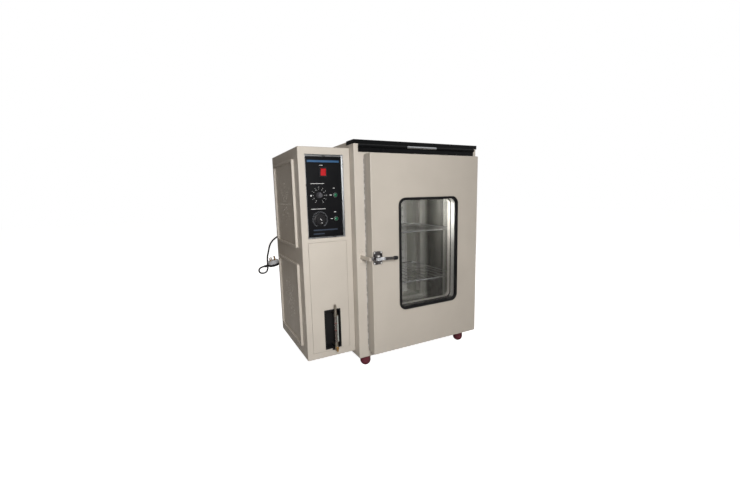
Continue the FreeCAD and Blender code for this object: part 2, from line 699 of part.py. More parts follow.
def tubeAlong(wire, radius):
    start = wire.Edges[0]
    ring = Part.Circle(start.Vertexes[0].Point, start.tangentAt(start.FirstParameter), radius)
    return wire.makePipeShell([Part.Wire([ring.toShape()])], True, False)


# Door

def doorOuter():
    body = newBody("door_outer", door)
    pad(body, rectangle(sketchOn(body, "XZ_Plane"), 0, 0, s.doorWidth, s.doorHeight), s.doorPan, True)
    rounded(body, s.foldRadius, runsAlong(alongY))
    rounded(body, s.foldRadius, liesAt(alongY, 0))
    inside = sketchOn(body, "XZ_Plane", -s.doorPan)
    rectangle(inside, s.sheet, s.sheet, s.doorWidth - 2 * s.sheet, s.doorHeight - 2 * s.sheet)
    pocket(body, inside, s.doorPan - s.sheet)
    window = windowShape(sketchOn(body, "XZ_Plane"), s.windowBand / 2)
    pocket(body, window, s.sheet * 2)
    return keep(body, "door_outer")


def windowShape(sketch, inset):
    # The window's rounded outline, drawn in by an inset
    return roundedRectangle(sketch, s.windowLeft + inset, s.windowLow + inset, s.windowWidth - 2 * inset,
                            s.windowHeight - 2 * inset, s.windowRadius - inset)


def doorInner():
    wall, lap = s.linerSheet, s.sheet + s.sealGap
    body = newBody("door_inner", offset(door, 0, s.doorThick, 0))
    whole = s.doorThick - s.doorPan + s.doorLap
    face = sketchOn(body, "XZ_Plane")
    rectangle(face, lap, lap, s.doorWidth - 2 * lap, s.doorHeight - 2 * lap)
    pad(body, face, whole)
    inside = sketchOn(body, "XZ_Plane", whole)
    rectangle(inside, lap + wall, lap + wall, s.doorWidth - 2 * (lap + wall), s.doorHeight - 2 * (lap + wall))
    pocket(body, inside, whole - wall)
    collar = windowShape(sketchOn(body, "XZ_Plane"), s.windowBand - wall)
    windowShape(collar, s.windowBand)
    pad(body, collar, s.doorThick - innerSealBack)
    pocket(body, windowShape(sketchOn(body, "XZ_Plane"), s.windowBand), wall * 2)
    return keep(body, "door_inner")


def doorWool():
    # Packing between the two door skins, clear of the window
    gap = s.woolGap
    edge = s.sheet + s.sealGap + s.linerSheet + gap
    body = newBody("door_insulation", offset(door, 0, s.sheet + gap, 0))
    thick = s.doorThick - s.sheet - s.linerSheet - 2 * gap
    ring = sketchOn(body, "XZ_Plane")
    rectangle(ring, edge, edge, s.doorWidth - 2 * edge, s.doorHeight - 2 * edge)
    windowShape(ring, -s.windowBand)
    pad(body, ring, thick, True)
    return keep(body, "door_insulation")


def windowGasket():
    body = newBody("window_gasket", door)
    hole = s.windowBand / 2 + s.sealGap
    lip = windowShape(sketchOn(body, "XZ_Plane"), 0)
    windowShape(lip, s.windowBand)
    pad(body, lip, s.gasketProud)
    web = windowShape(sketchOn(body, "XZ_Plane"), hole)
    windowShape(web, s.windowBand)
    pad(body, web, glassBack + s.sheet, True)
    groove = windowShape(sketchOn(body, "XZ_Plane", -glassFront), s.windowBand - (s.windowBand - hole) / 2)
    windowShape(groove, s.windowBand + s.sheet)
    pocket(body, groove, s.glassThick + 2 * s.sealGap)
    return keep(body, "window_gasket")


def pane(name, front, thick, inset):
    body = newBody(name, offset(door, 0, front, 0))
    pad(body, windowShape(sketchOn(body, "XZ_Plane"), inset), thick, True)
    return keep(body, name)


def windowReveal():
    body = newBody("window_reveal", offset(door, 0, glassBack + s.sheet + s.sealGap, 0))
    long = innerSealFront - (glassBack + s.sheet + s.sealGap)
    ring = windowShape(sketchOn(body, "XZ_Plane"), s.windowBand - s.linerSheet)
    windowShape(ring, s.windowBand)
    pad(body, ring, long, True)
    flange = windowShape(sketchOn(body, "XZ_Plane", -long), -s.windowBand / 2)
    windowShape(flange, s.windowBand)
    pad(body, flange, s.linerSheet)
    return keep(body, "window_reveal")


def innerSeal():
    body = newBody("window_seal_inner", offset(door, 0, innerSealFront, 0))
    deep = innerSealBack - innerSealFront
    ring = windowShape(sketchOn(body, "XZ_Plane"), -s.windowBand / 2)
    windowShape(ring, s.windowBand)
    pad(body, ring, deep, True)
    level = -(deep - s.innerGlassThick) / 2 + s.sealGap
    groove = windowShape(sketchOn(body, "XZ_Plane", level), s.glassBite / 2)
    windowShape(groove, s.windowBand + s.sheet)
    pocket(body, groove, s.innerGlassThick + 2 * s.sealGap)
    return keep(body, "window_seal_inner")


def doorGasket():
    body = newBody("door_gasket", offset(door, 0, s.doorThick, 0))
    inset = s.gasketInset
    ring = sketchOn(body, "XZ_Plane")
    roundedRectangle(ring, inset, inset, s.doorWidth - 2 * inset, s.doorHeight - 2 * inset, s.gasketWide)
    far = inset + s.gasketWide
    rectangle(ring, far, far, s.doorWidth - 2 * far, s.doorHeight - 2 * far)
    pad(body, ring, s.gasketThick, True)
    rounded(body, s.gasketThick / 4, bothOf(liesAt(alongY, s.gasketThick), longerThan(s.gasketWide * 2)))
    return keep(body, "door_gasket")


# Hinges, made in pairs about one upright axis beside the door

def hingeLevels():
    return (("Low", s.hingeInset - s.hingeHeight / 2),
            ("High", s.doorHeight - s.hingeInset - s.hingeHeight / 2))


def hingeFoot(level):
    return offset(door, s.doorWidth + s.hingeOut, s.hingeBack, level)


def barrel(body, radius, low, high):
    ring = circle(sketchOn(body, "XY_Plane", low), 0, 0, radius)
    return pad(body, ring, high - low)


def frameLeaves():
    third = s.hingeHeight / 3
    back = doorProud - s.hingeBack
    ready = []
    for name, level in hingeLevels():
        body = newBody("frameLeaf" + name, hingeFoot(level))
        arm = sketchOn(body, "XY_Plane")
        half = s.knuckleRadius - s.leafThick / 2
        outline(arm, [(-half, 0), (half, 0), (half, back - s.leafThick - 1),
                      (s.knuckleRadius * 3, back - s.leafThick),
                      (s.knuckleRadius * 4, back - s.leafThick), (s.knuckleRadius * 4, back), (-half, back)])
        pad(body, arm, s.hingeHeight)
        barrel(body, s.knuckleRadius, 0 * third, s.hingeHeight)
        gap = sketchOn(body, "XY_Plane", third)
        reach = s.knuckleRadius + s.leafThick * 2
        rectangle(gap, -reach, -reach, reach * 2, reach + s.knuckleRadius + s.knuckleGap)
        cut = pocket(body, gap, third)
        cut.Reversed = True
        doc.recompute()
        bore = circle(sketchOn(body, "XY_Plane"), 0, 0, s.pinRadius)
        drill = pocket(body, bore, s.hingeHeight)
        assert body.Shape.isValid(), drill.Label
        ready.append(body)
    return keep(together("hinge_leaves_frame", ready), "hinge_leaves_frame")


def doorLeaves():
    third = s.hingeHeight / 3
    ready = []
    for name, level in hingeLevels():
        body = newBody("doorLeaf" + name, hingeFoot(level))
        leaf = sketchOn(body, "XY_Plane", third + s.knuckleGap)
        inner = -s.hingeOut
        deep = s.hingeBack - s.foldRadius * 2
        outline(leaf, [(inner, -deep), (inner + s.leafThick, -deep), (inner + s.leafThick, -s.leafThick / 2),
                       (0, -s.leafThick / 2), (0, s.leafThick / 2), (inner, s.leafThick / 2)])
        pad(body, leaf, third - 2 * s.knuckleGap)
        barrel(body, s.knuckleRadius, third + s.knuckleGap, 2 * third - s.knuckleGap)
        bore = circle(sketchOn(body, "XY_Plane"), 0, 0, s.pinRadius + s.runningGap)
        pocket(body, bore, s.hingeHeight)
        ready.append(body)
    return keep(together("hinge_leaves_door", ready), "hinge_leaves_door")


def hingePins():
    ready = []
    for name, level in hingeLevels():
        body = newBody("hingePin" + name, hingeFoot(level))
        barrel(body, s.pinRadius, 0 * level, s.hingeHeight)
        barrel(body, s.knuckleRadius, s.hingeHeight, s.hingeHeight + s.leafThick)
        rounded(body, s.leafThick / 2, liesAt(alongZ, s.hingeHeight + s.leafThick))
        ready.append(body)
    return keep(together("hinge_pins", ready), "hinge_pins")


# Latch

def latchPlate():
    body = newBody("latch_plate", latch)
    tall, wide = s.plateHeight, s.plateWidth
    base = sketchOn(body, "XZ_Plane")
    roundedRectangle(base, -s.plateLeft, -tall / 2, wide, tall, s.plateThick * 2)
    pad(body, base, s.plateThick)
    housing = sketchOn(body, "XZ_Plane")
    houseTall = s.boltTall + 2 * s.lugThick
    rectangle(housing, -s.plateLeft - 1, -houseTall / 2, wide * 0.72, houseTall)
    pad(body, housing, s.plateThick + s.boltWide + s.lugThick)
    for side in (-1, 1):
        low = s.boltTall / 2 if side > 0 else -s.boltTall / 2 - s.lugThick
        lug = sketchOn(body, "XY_Plane", low)
        outline(lug, [(-s.lugRadius, -s.plateThick), (-s.lugRadius, -s.pivotProud, s.lugRadius, 0,
                                                       -s.pivotProud - s.lugRadius),
                      (s.lugRadius, -s.pivotProud), (s.lugRadius, -s.plateThick)])
        pad(body, lug, s.lugThick)
    way = sketchOn(body, "YZ_Plane", -s.plateLeft - 1)
    rectangle(way, -boltBack - s.boltWide - s.boltGap, -s.boltTall / 2 - s.boltGap,
              s.boltWide + 2 * s.boltGap, s.boltTall + 2 * s.boltGap)
    pocket(body, way, wide)
    slot = sketchOn(body, "XZ_Plane", s.plateThick + s.boltWide + s.lugThick)
    rectangle(slot, -s.plateLeft + 4, -s.boltTall / 2, wide * 0.5, s.boltTall)
    pocket(body, slot, s.lugThick + s.boltWide)
    bore = circle(sketchOn(body, "XY_Plane", -houseTall / 2), 0, -s.pivotProud, s.latchPinRadius)
    pocket(body, bore, houseTall)
    return keep(body, "latch_plate")


def latchFixings():
    # The pin the handle turns on, and a screw at each corner of the plate
    tall = s.boltTall + 2 * s.lugThick
    body = newBody("latchPin", offset(latch, 0, -s.pivotProud, -tall / 2))
    barrel(body, s.latchPinRadius, 0 * tall, tall + 1)
    barrel(body, s.latchPinRadius * 1.6, tall, tall + s.latchPinRadius)
    rounded(body, s.latchPinRadius / 2, liesAt(alongZ, tall + s.latchPinRadius))
    ready = [body]
    for i, x in enumerate((5 - s.plateLeft, s.plateWidth - s.plateLeft - 5)):
        for j, z in enumerate((5 - s.plateHeight / 2, s.plateHeight / 2 - 5)):
            at = offset(latch, x, -s.plateThick, z)
            ready.append(screwHead(f"latchScrew{i}{j}", at, 3))
    return keep(together("latch_fixings", ready), "latch_fixings")


def latchBolt():
    # A flat bolt with a bevelled nose, and a slot that the handle's toe works in
    tip = s.strikeLeft + s.strikeArm + s.strikeReach / 2 + s.boltTip
    left = tip - s.doorLeft - s.latchIn
    body = newBody("latch_bolt", offset(latch, 0, -boltBack, 0))
    long = s.toeRadius - left
    bar = sketchOn(body, "XZ_Plane")
    rectangle(bar, left, -s.boltTall / 2, long - s.toeRadius / 3, s.boltTall)
    pad(body, bar, s.boltWide)
    bevelled(body, s.boltWide / 3, bothOf(liesAt(alongX, left), liesAt(alongY, 0)))
    slot = sketchOn(body, "XZ_Plane")
    wide = 2 * (s.toeTip + s.toePlay)
    rectangle(slot, toeX - wide / 2, -s.boltTall / 2 + s.plateThick / 2, wide, s.boltTall - s.plateThick)
    pocket(body, slot)
    return keep(body, "latch_bolt")


def latchHandle():
    tall = s.boltTall - 2 * s.hubGap
    body = newBody("latch_handle", offset(latch, 0, -s.pivotProud, 0))
    body.Placement.Rotation = FreeCAD.Rotation(alongZ, -float(s.leverRest))
    neck = s.lugRadius * 0.6
    lever = sketchOn(body, "XZ_Plane")
    low = s.leverTall / 2
    end = s.leverLength - s.gripLength
    outline(lever, [(neck, -tall / 2), (s.lugRadius * 2.4, -low), (end, -low * 0.8), (end, low * 0.8),
                    (s.lugRadius * 2.4, low), (neck, tall / 2)])
    pad(body, lever, s.leverThick, middle=True)
    rounded(body, s.leverThick / 5, bothOf(longerThan(s.leverLength * 0.3), mostlyAlong(alongX)))
    barrel(body, s.lugRadius - s.hubGap, -tall / 2, tall / 2)
    toe = sketchOn(body, "XY_Plane", -s.boltTall / 2 + s.plateThick / 2 + s.boltGap)
    turn = math.radians(float(s.leverRest + s.toeLean))
    toeAlong(toe, V(-math.sin(turn), math.cos(turn), 0))
    pad(body, toe, s.boltTall - s.plateThick - 2 * s.boltGap)
    bore = circle(sketchOn(body, "XY_Plane", -tall / 2), 0, 0, s.latchPinRadius + s.runningGap)
    pocket(body, bore, tall)
    return keep(body, "latch_handle")


def toeAlong(sketch, aim):
    # A round-ended finger drawn from the hub out to the toe's own radius
    side = V(-aim.y, aim.x, 0)
    neck = float(s.toeTip) * 0.55
    near, far, tip = float(s.lugRadius) * 0.6, float(s.toeRadius), float(s.toeTip)
    joinAt = far - math.sqrt(tip * tip - neck * neck)
    spots = [aim * near + side * neck, aim * joinAt + side * neck, aim * joinAt - side * neck,
             aim * near - side * neck]
    outerSpot = aim * (far + tip)
    outline(sketch, [(spots[0].x, spots[0].y), (spots[1].x, spots[1].y, s.toeTip, outerSpot.x, outerSpot.y),
                     (spots[2].x, spots[2].y), (spots[3].x, spots[3].y)])


def handleGrip():
    body = newBody("handle_grip", offset(latch, 0, -s.pivotProud, 0))
    body.Placement.Rotation = FreeCAD.Rotation(alongZ, -float(s.leverRest))
    r, start, end = s.gripRadius, s.leverLength - s.gripLength, s.leverLength
    half = math.sqrt(0.5)
    profile = [(start, 0), (start, r * 0.8), (start + r * 0.4, r),
               (end - r, r, r, end - r * (1 - half), r * half), (end, 0)]
    turned(body, outline(sketchOn(body, "XY_Plane"), profile), "X_Axis")
    return keep(body, "handle_grip")


def strikePlate():
    body = newBody("strike_plate", offset(cabinet, s.strikeLeft, 0, s.doorLow + s.latchHigh))
    base = sketchOn(body, "XZ_Plane")
    roundedRectangle(base, 0, -s.strikeTall / 2, s.strikeWide, s.strikeTall, s.plateThick)
    pad(body, base, s.plateThick)
    arm = sketchOn(body, "XY_Plane")
    front = doorProud + boltBack + s.boltWide + s.plateThick
    thick = s.strikeArm
    outline(arm, [(0, 0), (s.strikeWide * 0.7, 0), (thick, -thick * 4), (thick, -front + thick * 0),
                  (thick + s.strikeReach / 2, -front), (thick + s.strikeReach / 2, -front - thick),
                  (thick / 2, -front - thick), (0, -front - thick / 2)])
    pad(body, arm, s.strikeArmTall, middle=True)
    for side in (-1, 1):
        hole = sketchOn(body, "XZ_Plane")
        circle(hole, s.strikeWide / 2, side * s.strikeTall * 0.36, s.plateThick * 0.7)
        pocket(body, hole, s.plateThick)
    return keep(body, "strike_plate")


# Control box

def controlCasing():
    body = newBody("control_casing", box)
    pad(body, rectangle(sketchOn(body, "XZ_Plane"), 0, 0, s.boxWidth, s.boxHeight), s.boxDepth, True)
    rounded(body, s.foldRadius, runsAlong(alongY))
    rounded(body, s.foldRadius, liesAt(alongY, 0))
    inside = sketchOn(body, "XZ_Plane", -s.boxDepth)
    rectangle(inside, s.sheet, s.sheet, s.boxWidth - 2 * s.sheet, s.boxHeight - 2 * s.sheet)
    pocket(body, inside, s.boxDepth - s.sheet)
    front = sketchOn(body, "XZ_Plane")
    rectangle(front, s.panelLeft, s.panelLow, s.panelWidth, s.panelHeight)
    rectangle(front, s.serviceLeft, s.serviceLow, s.serviceWidth, s.serviceHeight)
    pocket(body, front, s.sheet * 2)
    side = sketchOn(body, "YZ_Plane")
    for low in (s.ventLow, s.ventHigh):
        rectangle(side, s.ventFront + s.coverRim, low + s.coverRim, s.ventDeep - 2 * s.coverRim,
                  s.ventTall - 2 * s.coverRim)
    pocket(body, side, s.sheet * 2)
    grown, inset = s.sheet, s.serviceLedge
    tube = sketchOn(body, "XZ_Plane", -s.sheet)
    rectangle(tube, s.serviceLeft - grown, s.serviceLow - grown, s.serviceWidth + 2 * grown,
              s.serviceHeight + 2 * grown)
    rectangle(tube, s.serviceLeft, s.serviceLow, s.serviceWidth, s.serviceHeight)
    pad(body, tube, s.serviceRim, True)
    ledge = sketchOn(body, "XZ_Plane", -s.serviceRim)
    rectangle(ledge, s.serviceLeft - grown, s.serviceLow - grown, s.serviceWidth + 2 * grown,
              s.serviceHeight + 2 * grown)
    rectangle(ledge, s.serviceLeft + inset, s.serviceLow + inset, s.serviceWidth - 2 * inset,
              s.serviceHeight - 2 * inset)
    pad(body, ledge, s.sheet, True)
    right = sketchOn(body, "YZ_Plane", s.boxWidth)
    circle(right, pipeY - box[1], pipeZ - box[2], s.pipeRadius + s.pipeGap)
    pocket(body, right, s.sheet * 2)
    return keep(body, "control_casing")


def controlBack():
    body = newBody("control_back", offset(box, s.sheet, s.boxDepth - s.sheet, s.sheet))
    wide, tall = s.boxWidth - 2 * s.sheet, s.boxHeight - 2 * s.sheet
    pad(body, rectangle(sketchOn(body, "XZ_Plane"), 0, 0, wide, tall), s.sheet, True)
    rim = sketchOn(body, "XZ_Plane")
    rectangle(rim, 0, 0, wide, tall)
    rectangle(rim, s.sheet, s.sheet, wide - 2 * s.sheet, tall - 2 * s.sheet)
    pad(body, rim, s.serviceRim)
    gland = sketchOn(body, "XZ_Plane", s.sheet)
    circle(gland, cabinet[0] + s.glandX - box[0] - s.sheet, cabinet[2] + s.glandZ - box[2] - s.sheet,
           s.glandRadius * 0.75)
    pocket(body, gland, s.sheet * 4)
    return keep(body, "control_back")


def serviceCover():
    gap = s.serviceGap
    body = newBody("service_cover", offset(box, s.serviceLeft + gap, 0, s.serviceLow + gap))
    wide, tall = s.serviceWidth - 2 * gap, s.serviceHeight - 2 * gap
    pad(body, rectangle(sketchOn(body, "XZ_Plane"), 0, 0, wide, tall), s.sheet, True)
    rim = sketchOn(body, "XZ_Plane")
    rectangle(rim, 0, 0, wide, tall)
    rectangle(rim, s.sheet, s.sheet, wide - 2 * s.sheet, tall - 2 * s.sheet)
    pad(body, rim, s.serviceRim, True)
    slot = sketchOn(body, "XZ_Plane")
    left, low = s.gaugeLeft - s.serviceLeft - gap, s.gaugeLow - s.serviceLow - gap
    rectangle(slot, left, low, s.gaugeWide, s.gaugeTall)
    pocket(body, slot, s.sheet * 2)
    return keep(body, "service_cover")


def ventCovers():
    pans = []
    for name, low in (("ventLower", s.ventLow), ("ventUpper", s.ventHigh)):
        pan = newBody(name, offset(box, 0, s.ventFront + s.ventDeep / 2, low + s.ventTall / 2))
        ventPan(pan)
        pans.append(pan)
    return keep(together("vent_covers", pans), "vent_covers")


def ventPan(body):
    # A pressed pan, proud of the side and dished again inside its rim, with a rosette of punched holes
    deep, tall, rim = s.ventDeep, s.ventTall, s.coverRim
    face = sketchOn(body, "YZ_Plane")
    roundedRectangle(face, -deep / 2, -tall / 2, deep, tall, s.coverRadius / 2)
    pad(body, face, s.coverProud, True)
    rounded(body, s.sheet, liesAt(alongX, -s.coverProud))
    dish = sketchOn(body, "YZ_Plane", -s.coverProud)
    roundedRectangle(dish, rim - deep / 2, rim - tall / 2, deep - 2 * rim, tall - 2 * rim, s.coverRadius)
    pocket(body, dish, s.coverProud - s.sheet)
    arm = []
    for ring in range(1, sizes["ventRings"] + 1):
        hole = circle(sketchOn(body, "YZ_Plane", -s.coverProud), 0, s.ventPitch * ring, s.ventHole)
        arm.append(pocket(body, hole, s.coverProud * 2))
    inRing(body, arm, "X_Axis", s.ventArms)


def panelBezel():
    gap = s.bezelGap
    body = newBody("panel_bezel", offset(box, s.panelLeft + gap, s.panelSet - s.bezelThick, s.panelLow + gap))
    wide, tall = s.panelWidth - 2 * gap, s.panelHeight - 2 * gap
    side, top, lip = s.bezelSide, s.bezelTop, s.bezelLip
    frame = sketchOn(body, "XZ_Plane")
    rectangle(frame, 0, 0, wide, tall)
    rectangle(frame, side, side, wide - 2 * side, tall - side - top)
    pad(body, frame, s.bezelThick, True)
    ridge = sketchOn(body, "XZ_Plane")
    rectangle(ridge, side, side, wide - 2 * side, tall - side - top)
    rectangle(ridge, side - lip, side - lip, wide - 2 * (side - lip), tall - side - top + 2 * lip)
    pad(body, ridge, lip)
    flange = sketchOn(body, "XZ_Plane")
    rectangle(flange, 0, 0, wide, tall)
    rectangle(flange, s.sheet, s.sheet, wide - 2 * s.sheet, tall - 2 * s.sheet)
    pad(body, flange, s.panelSet - s.bezelThick - s.sealGap)
    return keep(body, "panel_bezel")


def controlPanel():
    # A pan that stands on the inside of the casing, its face set back behind the opening
    margin = s.panelMargin
    body = newBody("control_panel", offset(box, 0, s.panelSet, 0))
    left, low = s.panelLeft - margin, s.panelLow - margin
    wide, tall = s.panelWidth + 2 * margin, s.panelHeight + 2 * margin
    pad(body, rectangle(sketchOn(body, "XZ_Plane"), left, low, wide, tall), s.panelThick, True)
    wall = sketchOn(body, "XZ_Plane")
    rectangle(wall, left, low, wide, tall)
    rectangle(wall, left + s.sheet, low + s.sheet, wide - 2 * s.sheet, tall - 2 * s.sheet)
    pad(body, wall, s.panelSet - s.sheet)
    holes = sketchOn(body, "XZ_Plane")
    for z in (s.upperRow, s.lowerRow):
        circle(holes, s.dialX, z, s.stemRadius + s.pipeGap)
        circle(holes, s.lampX, z, s.lensRadius - 1)
    wide, tall = s.rockerWide + s.switchRim, s.rockerTall + s.switchRim
    rectangle(holes, s.switchX - wide / 2, s.switchZ - tall / 2, wide, tall)
    pocket(body, holes, s.panelThick * 2)
    return keep(body, "control_panel")


def panelScrews():
    # Raised-head screws at both edges of the panel's face
    spots = [(x, z) for x in (s.screwInset, s.panelWidth - s.screwInset) for z in (s.screwLow, s.screwHigh)]
    ready = []
    for i, (x, z) in enumerate(spots):
        at = offset(box, s.panelLeft + x, s.panelSet, s.panelLow + z)
        ready.append(screwHead(f"panelScrew{i}", at, float(s.screwRadius)))
    return keep(together("panel_screws", ready), "panel_screws")


def screwHead(name, at, radius):
    # A low domed head with a slot across it, proud of the face it holds
    body = newBody(name, at)
    high = radius * 0.6
    bend = (radius * radius + high * high) / (2 * high)
    profile = [(0, 0), (radius, 0, bend, radius * 0.62, -high * 0.68), (0, -high)]
    turned(body, outline(sketchOn(body, "XY_Plane"), profile), "Y_Axis")
    slot = rectangle(sketchOn(body, "XZ_Plane", high), -radius, -0.4, radius * 2, 0.8)
    pocket(body, slot, high * 0.5)
    return body


def switchFrame():
    body = newBody("switch_frame", offset(box, s.switchX, s.panelSet, s.switchZ))
    innerWide, innerTall = s.rockerWide + 1, s.rockerTall + 3
    wide, tall = innerWide + 2 * s.switchRim, innerTall + 2 * s.switchRim
    rim = roundedRectangle(sketchOn(body, "XZ_Plane"), -wide / 2, -tall / 2, wide, tall, s.switchRim / 2)
    pad(body, rim, s.panelThick)
    case = sketchOn(body, "XZ_Plane")
    rectangle(case, -innerWide / 2 - 1, -innerTall / 2 - 0.4, innerWide + 2, innerTall + 0.8)
    pad(body, case, s.rockerTall, True)
    well = sketchOn(body, "XZ_Plane", s.panelThick)
    rectangle(well, -innerWide / 2, -innerTall / 2, innerWide, innerTall)
    pocket(body, well, s.rockerTall * 0.7)
    axle = circle(sketchOn(body, "YZ_Plane"), 2, 0, s.axleRadius + s.runningGap)
    pocket(body, axle, s.rockerWide * 3, True)
    return keep(body, "switch_frame")


def rocker():
    body = newBody("rocker", offset(box, s.switchX, s.panelSet + 2, s.switchZ))
    body.Placement.Rotation = FreeCAD.Rotation(alongX, float(s.rockerTilt))
    half = s.rockerTall / 2
    profile = [(-s.panelThick * 3.6, -half), (-s.panelThick * 2.6, 0), (-s.panelThick * 3.6, half),
               (0, half), (half * 0.6, half * 0.35), (half * 0.6, -half * 0.35), (0, -half)]
    pad(body, outline(sketchOn(body, "YZ_Plane"), profile), s.rockerWide, middle=True)
    axle = circle(sketchOn(body, "YZ_Plane"), 0, 0, s.axleRadius)
    pad(body, axle, s.rockerWide + 2.4, middle=True)
    return keep(body, "rocker")


def knob(name, z, radius, deep, flutes):
    body = newBody(name, offset(box, s.dialX, s.panelSet - s.sealGap, z))
    profile = [(0, 0), (radius, 0), (radius, -deep * 0.2), (radius * 0.86, -deep * 0.3),
               (radius * 0.78, -deep + 1), (radius * 0.7, -deep), (0, -deep)]
    turned(body, outline(sketchOn(body, "XY_Plane"), profile), "Y_Axis")
    flute = circle(sketchOn(body, "XZ_Plane", deep), radius * 0.92, 0, radius * 0.13)
    inRing(body, [pocket(body, flute, deep * 0.66)], "Y_Axis", flutes)
    stem = circle(sketchOn(body, "XZ_Plane"), 0, 0, s.stemRadius)
    pad(body, stem, s.panelThick + s.smallKnobDeep, True)
    return keep(body, name)


def controllerBodies():
    # The thermostat and humidity switch that stand behind the panel, bored for the knobs' stems
    ready = []
    for name, z in (("thermostat", s.upperRow), ("humidistat", s.lowerRow)):
        body = newBody(name, offset(box, s.dialX, s.panelSet + s.panelThick, z))
        half = s.bigKnob - 3
        pad(body, roundedRectangle(sketchOn(body, "XZ_Plane"), -half, -half, half * 2, half * 2, 4),
            s.smallKnobDeep * 2, True)
        bore = circle(sketchOn(body, "XZ_Plane"), 0, 0, s.stemRadius + s.runningGap)
        pocket(body, bore, s.smallKnobDeep * 1.2)
        ready.append(body)
    return keep(together("controllers", ready), "controllers")


def lampBezels():
    ready = []
    for name, z in (("Upper", s.upperRow), ("Lower", s.lowerRow)):
        body = newBody("lampBezel" + name, offset(box, s.lampX, s.panelSet, z))
        r, lens = s.lampRadius, s.lensRadius
        profile = [(lens, 0), (r, 0), (r, -1.5), (lens + 1, -s.lampProud * 0.7), (lens, -s.lampProud * 0.7)]
        turned(body, outline(sketchOn(body, "XY_Plane"), profile), "Y_Axis")
        ready.append(body)
    return keep(together("lamp_bezels", ready), "lamp_bezels")


def lampLenses():
    ready = []
    for name, z in (("Upper", s.upperRow), ("Lower", s.lowerRow)):
        body = newBody("lampLens" + name, offset(box, s.lampX, s.panelSet, z))
        r = s.lensRadius - s.sealGap / 2
        high = s.lampProud * 0.6
        dome = s.lampProud * 0.5
        bend = (r * r + dome * dome) / (2 * dome)
        profile = [(0, 12), (s.lensRadius - 1.5, 12), (s.lensRadius - 1.5, 0), (r, 0),
                   (r, -high, bend, r * 0.52, -high - dome * 0.74), (0, -high - dome)]
        turned(body, outline(sketchOn(body, "XY_Plane"), profile), "Y_Axis")
        ready.append(body)
    return keep(together("lamp_lenses", ready), "lamp_lenses")


def gaugeEdging():
    # Black lined recess in the cover, with a short tongue under the cock
    body = newBody("gauge_edging", offset(box, s.gaugeLeft, 0, s.gaugeLow))
    wide, tall, edge, gap = s.gaugeWide, s.gaugeTall, s.gaugeEdge, s.sealGap
    ring = sketchOn(body, "XZ_Plane")
    roundedRectangle(ring, -edge / 2, -edge / 2, wide + edge, tall + edge, edge / 2)
    rectangle(ring, edge / 2, edge / 2, wide - edge, tall - edge)
    pad(body, ring, s.sheet)
    tongue = rectangle(sketchOn(body, "XZ_Plane"), wide * 0.42, -edge * 2, wide * 0.4, edge * 1.8)
    pad(body, tongue, s.sheet)
    web = rectangle(sketchOn(body, "XZ_Plane"), gap, gap, wide - 2 * gap, tall - 2 * gap)
    rectangle(web, edge / 2, edge / 2, wide - edge, tall - edge)
    pad(body, web, s.gaugeDeep, True)
    back = rectangle(sketchOn(body, "XZ_Plane", -s.gaugeDeep), gap, gap, wide - 2 * gap, tall - 2 * gap)
    pad(body, back, s.sheet)
    ports = sketchOn(body, "XZ_Plane", -s.gaugeDeep)
    for level in (lowStub, highStub):
        circle(ports, s.tubeX - s.gaugeLeft, level - box[2] - s.gaugeLow, s.stubRadius)
    pocket(body, ports, s.sheet * 2)
    return keep(body, "gauge_edging")


def sightTube():
    body = newBody("sight_tube", offset(box, s.tubeX, -s.tubeOut, s.tubeLow))
    ring = circle(sketchOn(body, "XY_Plane"), 0, 0, s.tubeRadius)
    circle(ring, 0, 0, s.tubeRadius - s.tubeWall)
    pad(body, ring, s.tubeTall)
    return keep(body, "sight_tube")


def gaugeFittings():
    # A socket for each end of the tube, both with a stub into the tank; a vent above, the cock's seat below
    # and a narrow scale plate held between the two sockets
    bore = s.tubeRadius + s.sealGap
    skin = bore + s.tubeWall
    head = newBody("gaugeHead", offset(box, s.tubeX, -s.tubeOut, s.tubeLow + s.tubeTall))
    top = highStub - box[2] - s.tubeLow - s.tubeTall + s.stubRadius * 1.3
    barrel(head, skin, -s.socketTall / 2, top)
    barrel(head, s.ventTubeRadius, top, top + s.ventTubeTall)
    stubAt = highStub - box[2] - s.tubeLow - s.tubeTall
    pad(head, circle(sketchOn(head, "XZ_Plane"), 0, stubAt, s.stubRadius), s.tankFront + s.tubeOut, True)
    pocket(head, circle(sketchOn(head, "XY_Plane", -s.socketTall / 2), 0, 0, bore), s.socketTall / 2)
    foot = newBody("gaugeFoot", offset(box, s.tubeX, -s.tubeOut, s.tubeLow))
    low = lowStub - box[2] - s.tubeLow
    barrel(foot, skin, cockLevel - s.cockRadius - s.tubeWall, s.socketTall / 2)
    barrel(foot, s.stemRadius, cockLevel - s.cockRadius * 2, cockLevel - s.cockRadius - s.tubeWall)
    pad(foot, circle(sketchOn(foot, "XZ_Plane"), 0, low, s.stubRadius), s.tankFront + s.tubeOut, True)
    pad(foot, circle(sketchOn(foot, "XZ_Plane"), 0, cockLevel, s.cockRadius), skin + s.cockRadius * 0.4)
    pocket(foot, circle(sketchOn(foot, "XY_Plane", s.socketTall / 2), 0, 0, bore), s.socketTall / 2)
    seat = sketchOn(foot, "XZ_Plane", skin + s.cockRadius * 0.4)
    pocket(foot, circle(seat, 0, cockLevel, s.stemRadius + s.runningGap), s.cockRadius)
    return keep(fused("gauge_fittings", [head, foot, gaugeScale(skin)]), "gauge_fittings")


def gaugeScale(skin):
    # A plate beside the tube, let into the rims of both sockets
    body = newBody("gaugeScale", offset(box, s.tubeX, -s.tubeOut, s.tubeLow))
    low, high = s.socketTall / 4, s.tubeTall - s.socketTall / 4
    strip = sketchOn(body, "XZ_Plane", -s.scaleThick / 2)
    rectangle(strip, skin - s.scaleBite, low, s.scaleWide, high - low)
    pad(body, strip, s.scaleThick)
    return body


